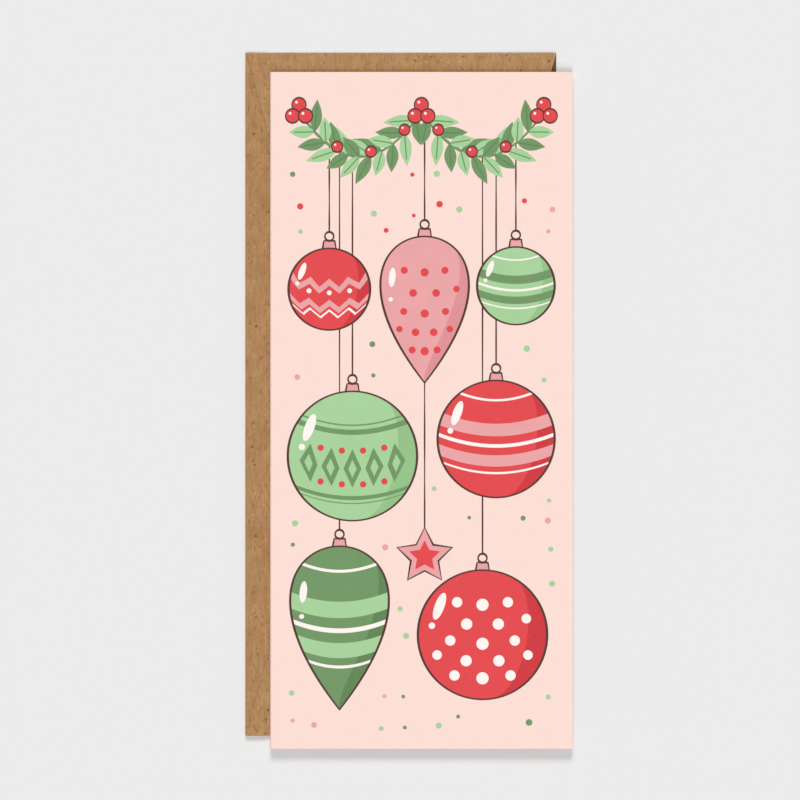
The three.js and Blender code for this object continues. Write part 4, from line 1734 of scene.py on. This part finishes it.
@dataclass
class SeasonalPrint:
    """The front's print: a leafy garland along the top, and ornaments that hang from it on strings.

    Attributes:
        margin_mm: how far the garland stays from the card's sides.
        hang_mm: how high the garland's ends and its middle hang.
        sag_mm: how far its two swags sag between them.
        leaf_pitch_mm: the step from one pair of leaves to the next.
        leaf_angle_deg: how far a leaf turns off the stem.
        leaf_vary: how far the leaves' lengths vary, as a share.
        leaf_levels: the number of heights that the leaves take in turn, so that none meet at one height.
        leaf_rise: the step between those heights, in micrometres.
        berry_rise: the step between the heights of a bunch's berries.
        berry_every: how many pairs of leaves there are to a berry.
        snow_mm: the mean step between the small dots.
        snow_start: where the first of them lies, in such steps.
        snow_stray: how far each may stray from its place, in such steps.
        snow_sizes_mm: their least and greatest radius.
        snow_gap_mm, thread_gap_mm, side_gap_mm: how far they stay from the ornaments, from the star and
            the strings, and from the card's sides.
        leaf_gap_mm: how far they stay below the garland's stem.
    """

    card: FoldedCard
    margin_mm: float = 8.5
    hang_mm: float = 187.0
    sag_mm: float = 13.0
    stem_mm: float = 0.8
    leaf_mm: float = 8.6
    leaf_width_mm: float = 3.6
    leaf_pitch_mm: float = 3.3
    leaf_angle_deg: float = 48.0
    leaf_vary: float = 0.14
    leaf_levels: int = 6
    leaf_rise: float = 5.5
    berry_mm: float = 1.9
    berry_every: int = 3
    berry_rise: float = 9.0
    string_mm: float = 0.42
    outline_mm: float = 0.58
    rib_mm: float = 0.32
    cap_mm: float = 2.0
    star_mm: float = 8.5
    star_place: Point = (45.4, 56.5)
    snow_mm: float = 8.4
    snow_start: Point = (0.8, 0.9)
    snow_stray: float = 0.27
    snow_sizes_mm: Point = (0.55, 1.0)
    snow_gap_mm: float = 2.7
    thread_gap_mm: float = 2.0
    side_gap_mm: float = 5.0
    leaf_gap_mm: float = 12.0
    seed: int = 12
    width_mm: float = field(init=False)
    films: dict[Ink, InkFilm] = field(init=False)

    def __post_init__(self) -> None:
        """Works out the front's width and opens a film for each ink."""
        self.width_mm = (self.card.cover.right - self.card.spine.left) / MM
        self.films = {ink: InkFilm(ink, self.card.on_front) for ink in Ink}

    def ornaments(self) -> list[Ornament]:
        """Lists the ornaments.

        Returns:
            The ornaments, row by row from the top.
        """
        ball, drop = Body.BALL, Body.DROP
        red, pink, mint, green, ivory = Ink.RED, Ink.PINK, Ink.MINT, Ink.GREEN, Ink.IVORY
        return [
            Ornament(17.4, 135.0, 12.0, 12.0, ball, Motif.ZIGZAG, red, pink, ivory),
            Ornament(45.4, 129.0, 13.0, 21.5, drop, Motif.DOTS, pink, red, ivory),
            Ornament(72.2, 136.0, 11.4, 11.4, ball, Motif.RINGS, mint, green, ivory),
            Ornament(24.2, 86.0, 19.0, 19.0, ball, Motif.DIAMONDS, mint, green, red),
            Ornament(66.4, 91.0, 17.2, 17.2, ball, Motif.RINGS, red, pink, ivory),
            Ornament(20.4, 35.5, 14.5, 24.0, drop, Motif.RINGS, green, mint, ivory),
            Ornament(62.4, 33.5, 19.0, 19.0, ball, Motif.DOTS, red, ivory, pink),
        ]

    def garland_at(self, across: float) -> float:
        """Gives the garland's height.

        Args:
            across: the place across the card.

        Returns:
            The height, in two swags side by side.
        """
        half = (self.width_mm - 2 * self.margin_mm) / 4
        off = ((across - self.margin_mm) % (2 * half) - half) / half
        return self.hang_mm - self.sag_mm * (1 - off * off)

    def _outline(self, edge: Outline) -> None:
        """Draws a shape's dark outline."""
        self.films[Ink.BROWN].line(edge, self.outline_mm, Layer.LINE, True)

    def _string(self, across: float, top: float) -> None:
        """Prints the string, ring and cap that an ornament hangs on.

        Args:
            across: where it hangs.
            top: the top of the ornament.
        """
        wide, narrow = self.cap_mm, 0.8 * self.cap_mm
        foot, crown = top - 0.1 * self.cap_mm, top + 1.1 * self.cap_mm
        loop = 0.65 * self.cap_mm
        corners = ((wide, foot), (narrow, crown), (-narrow, crown), (-wide, foot))
        cap = [(across + off, up) for off, up in corners]
        self.films[Ink.PINK].area(cap, Layer.GLINT)
        self.films[Ink.BROWN].line(rounded(cap), 0.8 * self.outline_mm, Layer.CAP)
        self._outline(ring((across, crown + loop), loop))
        self._thread(across, crown + 2 * loop, self.garland_at(across))

    def _thread(self, across: float, low: float, high: float) -> None:
        """Prints a thread between two heights."""
        path = [(across, up) for up in even_steps(low, high, 12)]
        self.films[Ink.BROWN].line(path, self.string_mm, Layer.STRING)

    def _ornament(self, item: Ornament) -> None:
        """Prints one ornament with its shade, pattern, shine, outline and string.

        Args:
            item: the ornament.
        """
        patterns = {
            Motif.RINGS: self._rings,
            Motif.ZIGZAG: self._zigzags,
            Motif.DOTS: self._dots,
            Motif.DIAMONDS: self._diamonds,
        }
        edge = item.outline()
        self.films[item.fill].area(edge, Layer.BODY)
        self.films[item.fill.deep].area(item.shade(), Layer.SHADE)
        patterns[item.motif](item)
        for shine in item.glints():
            self.films[Ink.IVORY].area(shine, Layer.GLINT)
        self._outline(edge)
        self._string(item.across, item.up + item.half_height)

    def _rings(self, item: Ornament) -> None:
        """Prints broad and narrow bands round an ornament.

        Args:
            item: the ornament.
        """
        broad = ((0.24, 0.44), (-0.28, -0.08))
        narrow = ((0.05, 0.11), (0.77, 0.8), (-0.42, -0.38))
        for ink, bands in ((item.trim, broad), (item.accent, narrow)):
            for low, high in bands:
                self.films[ink].area(item.even_band(low, high), Layer.MOTIF)

    def _zigzags(self, item: Ornament, teeth: int = 4, swing: float = 0.2) -> None:
        """Prints zigzag bands with dots between them.

        Args:
            item: the ornament.
            teeth: the number of a zigzag's teeth.
            swing: their height, as a share of half the body's height.
        """
        trim, accent = item.trim, item.accent

        def wave(side: float) -> float:
            """Gives a zigzag that rises and falls across the body."""
            return swing * (abs(2 * ((side + 1) / 2 * teeth % 1) - 1) - 0.5)

        for middle, half, ink in ((0.26, 0.08, trim), (-0.24, 0.08, trim), (-0.43, 0.03, accent)):
            outline = item.band(
                lambda side, low=middle - half: low + wave(side),
                lambda side, high=middle + half: high + wave(side),
                6 * teeth,
            )
            self.films[ink].area(outline, Layer.MOTIF)
        for side in even_steps(-0.5, 0.5, teeth - 2):
            self.films[accent].area(ring(item.at(side, 0.11), 0.06 * item.half_width, 16), Layer.DETAIL)

    def _dots(self, item: Ornament) -> None:
        """Prints staggered rows of dots round an ornament, clear of its glint.

        Args:
            item: the ornament.
        """
        odd_row, even_row = (-0.72, -0.26, 0.26, 0.72), (-0.5, 0.0, 0.5)
        glint_side, dot_share, side_shrink = -0.6, 0.095, 0.3
        for row, height in enumerate((-0.5, -0.22, 0.06, 0.34, 0.62)):
            for side in odd_row if row % 2 else even_row:
                if side > glint_side or height < 0:
                    size = dot_share * item.half_width * (1 - side_shrink * abs(side))
                    self.films[item.trim].area(ring(item.at(side, height), size, 18), Layer.MOTIF)

    def _diamonds(self, item: Ornament) -> None:
        """Prints a row of diamonds with dots between them, inside two pairs of lines round an ornament.

        Args:
            item: the ornament.
        """
        for low, high in ((0.5, 0.57), (0.62, 0.64), (-0.51, -0.44), (-0.58, -0.56)):
            self.films[item.trim].area(item.even_band(low, high), Layer.MOTIF)
        for side in even_steps(-0.68, 0.68, 4):
            self.films[item.trim].area(item.diamond(side, 0.14, 0.3), Layer.MOTIF)
            self.films[item.fill].area(item.diamond(side, 0.065, 0.14), Layer.DETAIL)
        for side in even_steps(-0.51, 0.51, 3):
            for height in (0.27, -0.25):
                dot = ring(item.at(side, height), 0.05 * item.half_width, 16)
                self.films[item.accent].area(dot, Layer.MOTIF)

    def _garland(self) -> None:
        """Prints the garland with its leaves and berries."""
        left, right = self.margin_mm, self.width_mm - self.margin_mm
        middle = self.width_mm / 2
        single, bunched, apart = 0.85 * self.berry_mm, 1.1 * self.berry_mm, 1.15 * self.berry_mm
        over_stem = 1.0
        stem = [(across, self.garland_at(across)) for across in even_steps(left, right, 80)]
        self.films[Ink.GREEN].line(stem, self.stem_mm, Layer.STEM)
        for half in (1, -1):
            for number in range(int((right - middle) / self.leaf_pitch_mm)):
                across = middle + half * (number + 0.5) * self.leaf_pitch_mm
                self._leaves(across, half, number)
                if number % self.berry_every == 1:
                    self._berry((across, self.garland_at(across) + over_stem), single, 0)
        for across in (left, middle, right):
            bunch = (across, self.garland_at(across))
            for number, angle_deg in enumerate((90, 210, 330)):
                self._berry(turned(bunch, math.radians(angle_deg), apart), bunched, number + 1)

    def _leaves(self, across: float, half: int, number: int) -> None:
        """Prints the two leaves that grow from one place of the stem.

        Args:
            across: the place.
            half: 1 in the garland's right half, -1 in its left.
            number: how far from the middle it is, in pairs of leaves.
        """
        rib_share, rib_rise, vary_turn = 0.8, 2.5, 2.1
        base = (across, self.garland_at(across))
        slope = math.atan2(self.garland_at(across + 0.5) - self.garland_at(across - 0.5), 1.0)
        ahead = slope if half > 0 else slope + math.pi
        for side in (1, -1):
            light = (number + (side > 0)) % 2
            blade_ink, rib_ink = (Ink.MINT, Ink.GREEN) if light else (Ink.GREEN, Ink.DEEP_GREEN)
            level = (2 * number + (side > 0)) % self.leaf_levels
            height = Layer.LEAF + self.leaf_rise * level + (half > 0)
            angle = ahead + side * half * math.radians(self.leaf_angle_deg)
            length = self.leaf_mm * (1 + self.leaf_vary * math.sin(number * vary_turn + side))
            rib = [base, turned(base, angle, rib_share * length)]
            self.films[blade_ink].area(leaf(base, angle, length, self.leaf_width_mm), height)
            self.films[rib_ink].line(rib, self.rib_mm, height + rib_rise)

    def _berry(self, centre: Point, radius: float, number: int) -> None:
        """Prints one berry with its outline and a glint.

        Args:
            centre: its middle.
            radius: its radius.
            number: its place in a bunch, from the lowest.
        """
        line_rise = 3.0
        height = Layer.BERRY + self.berry_rise * number
        over = height + line_rise
        edge = ring(centre, radius)
        self.films[Ink.RED].area(edge, height)
        self.films[Ink.BROWN].line(edge, 0.7 * self.outline_mm, over, True)
        glint = ring(turned(centre, math.radians(135), radius / 2), 0.2 * radius, 12)
        self.films[Ink.IVORY].area(glint, over)

    def _star(self) -> None:
        """Prints a star that hangs from the ornament above it."""
        size, core = self.star_mm, 0.56 * self.star_mm
        edge = star(self.star_place, size, size / 2)
        self.films[Ink.PINK].area(edge, Layer.BODY)
        self.films[Ink.RED].area(star(self.star_place, core, core / 2), Layer.MOTIF)
        self._outline(edge)
        for item in self.ornaments():
            if item.across == self.star_place[0]:
                self._thread(item.across, self.star_place[1] + size, item.up - item.half_height)

    def _bare(self, across: float, up: float) -> bool:
        """Tells whether a small dot may lie at a place.

        Args:
            across: the place across the card.
            up: the place up the card.

        Returns:
            Whether it is clear of the ornaments, the star, the strings, the garland and the card's sides.
        """
        items = self.ornaments()
        threads = [self.star_place[0], *(item.across for item in items)]
        return (
            not any(item.covers(across, up, self.snow_gap_mm) for item in items)
            and math.dist((across, up), self.star_place) > self.star_mm + self.thread_gap_mm
            and min(abs(across - thread) for thread in threads) > self.thread_gap_mm
            and self.side_gap_mm < across < self.width_mm - self.side_gap_mm
            and up < self.garland_at(across) - self.leaf_gap_mm
        )

    def _snow(self) -> None:
        """Scatters small dots between the ornaments."""
        chance = random.Random(self.seed)
        inks = (Ink.RED, Ink.GREEN, Ink.PINK, Ink.MINT)
        stray = (-self.snow_stray, self.snow_stray)
        for row in range(int(self.hang_mm / self.snow_mm)):
            for column in range(int(self.width_mm / self.snow_mm)):
                across = (column + self.snow_start[0] + chance.uniform(*stray)) * self.snow_mm
                up = (row + self.snow_start[1] + chance.uniform(*stray)) * self.snow_mm
                ink = inks[chance.randrange(len(inks))]
                size = chance.uniform(*self.snow_sizes_mm)
                if self._bare(across, up):
                    self.films[ink].area(ring((across, up), size, 14), Layer.LEAF)

    def build(self) -> Pieces:
        """Prints the whole front.

        Returns:
            The film of each ink, by name.
        """
        self._garland()
        for item in self.ornaments():
            self._ornament(item)
        self._star()
        self._snow()
        made = [film.piece() for film in self.films.values()]
        return {piece.name: piece for piece in made}

    def dress(self, pieces: Pieces, effects: EffectGroups) -> None:
        """Gives each film its ink."""
        for ink in Ink:
            dress(pieces[ink.value.name], [ink.value.material(effects)])


@dataclass(frozen=True)
class Lamp:
    """A far lamp in the upright plane along the card's length.

    Attributes:
        name: the lamp's name.
        beyond: 1 beyond the card's top edge, -1 before its lower edge.
        height_deg: how high it stands over the table.
        width_deg: how wide it looks.
        level: its share of the light on the table.
    """

    name: str
    beyond: int
    height_deg: float
    width_deg: float
    level: float

    def hang(self) -> None:
        """Adds the lamp to the scene."""
        light = bpy.data.lights.new(self.name, "SUN")
        light.energy = self.level * math.pi / math.sin(math.radians(self.height_deg))
        light.angle = math.radians(self.width_deg)
        holder = bpy.data.objects.new(self.name, light)
        holder.rotation_euler = (self.beyond * math.radians(self.height_deg - 90), 0.0, 0.0)
        bpy.context.scene.collection.objects.link(holder)


@dataclass
class Studio:
    """A pale table, lamps along the card's length, a low even sky and the camera overhead.

    Attributes:
        floor: the colour of the table and of the sky where it is seen.
        sky_level: the sky's share of the light on the table.
        view_width_mm: the width of the camera's view at the card's front.
        view_offset_mm: where it hangs, from the middle of the object's box.
    """

    floor: Colour = ink_colour(236, 236, 236)
    floor_roughness: float = 0.9
    floor_half: float = 8.0
    sky_level: float = 0.3
    lamps: tuple[Lamp, ...] = (
        Lamp("far_lamp", 1, 44.0, 20.0, 0.31),
        Lamp("near_lamp_low", -1, 50.0, 10.0, 0.06),
        Lamp("near_lamp_middle", -1, 61.0, 10.0, 0.08),
        Lamp("near_lamp_high", -1, 71.0, 10.0, 0.18),
        Lamp("overhead_lamp", 1, 90.0, 12.0, 0.07),
    )
    lens_mm: float = 400.0
    sensor_mm: float = 36.0
    view_width_mm: float = 234.99
    view_offset_mm: Point = (-2.634, 0.17)
    far_clip: float = 50.0

    def build(self, low: Vector, high: Vector) -> None:
        """Builds floor, light and camera round the object.

        Args:
            low: the lowest corner of the object's box.
            high: its highest corner.
        """
        self._floor()
        for lamp in self.lamps:
            lamp.hang()
        self._sky()
        self._camera((low + high) / 2, high.z)
        bpy.context.scene.view_settings.view_transform = "Standard"

    def _floor(self) -> None:
        """Lays the table."""
        shape = bmesh.new()
        bmesh.ops.create_grid(shape, x_segments=1, y_segments=1, size=self.floor_half)
        piece = new_piece("table_top", shape)
        material = bpy.data.materials.new("table_white")
        material.use_nodes = True
        shader = material.node_tree.nodes["Principled BSDF"]
        shader.inputs["Base Color"].default_value = self.floor
        shader.inputs["Roughness"].default_value = self.floor_roughness
        shader.inputs["Specular IOR Level"].default_value = 0.0
        dress(piece, [material])
        piece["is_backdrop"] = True

    def _sky(self) -> None:
        """Sets an even sky that shows as the table's colour where it is seen itself."""
        world = bpy.data.worlds.new("even_sky")
        world.use_nodes = True
        bpy.context.scene.world = world
        sketch = NodeSketch(world.node_tree)
        path = sketch.add("ShaderNodeLightPath", {}).outputs
        seen = sketch.sum_of("MAXIMUM", path["Is Camera Ray"], path["Is Glossy Ray"])
        seen = sketch.sum_of("MAXIMUM", seen, path["Is Transmission Ray"])
        sky = world.node_tree.nodes["Background"]
        sketch.feed(sky.inputs["Color"], sketch.mix(seen, grey(self.sky_level), self.floor))

    def _camera(self, centre: Vector, top: float) -> None:
        """Hangs the camera straight over the card.

        Args:
            centre: the middle of the object's box.
            top: the height of the cover.
        """
        lens = bpy.data.cameras.new("overhead")
        lens.lens = self.lens_mm
        lens.sensor_width = self.sensor_mm
        lens.clip_end = self.far_clip
        camera = bpy.data.objects.new("overhead", lens)
        away = self.view_width_mm * MM * self.lens_mm / self.sensor_mm
        aim = [offset * MM for offset in self.view_offset_mm]
        camera.location = (centre.x + aim[0], centre.y + aim[1], top + away)
        bpy.context.scene.collection.objects.link(camera)
        bpy.context.scene.camera = camera


def main() -> None:
    """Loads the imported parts, builds and dresses every piece and sets the studio up."""
    logging.basicConfig(level=logging.INFO, format="%(name)s: %(message)s")
    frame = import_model()
    packed_low, packed_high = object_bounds()
    effects = EffectGroups()
    envelope = KraftEnvelope()
    card = FoldedCard()
    front = SeasonalPrint(card)
    envelope_pieces = envelope.build()
    card_pieces = card.build()
    print_pieces = front.build()
    envelope.dress(envelope_pieces, effects, frame["nodes"])
    card.dress(card_pieces, effects)
    front.dress(print_pieces, effects)
    Studio().build(packed_low, packed_high)


if __name__ == "__main__":
    main()
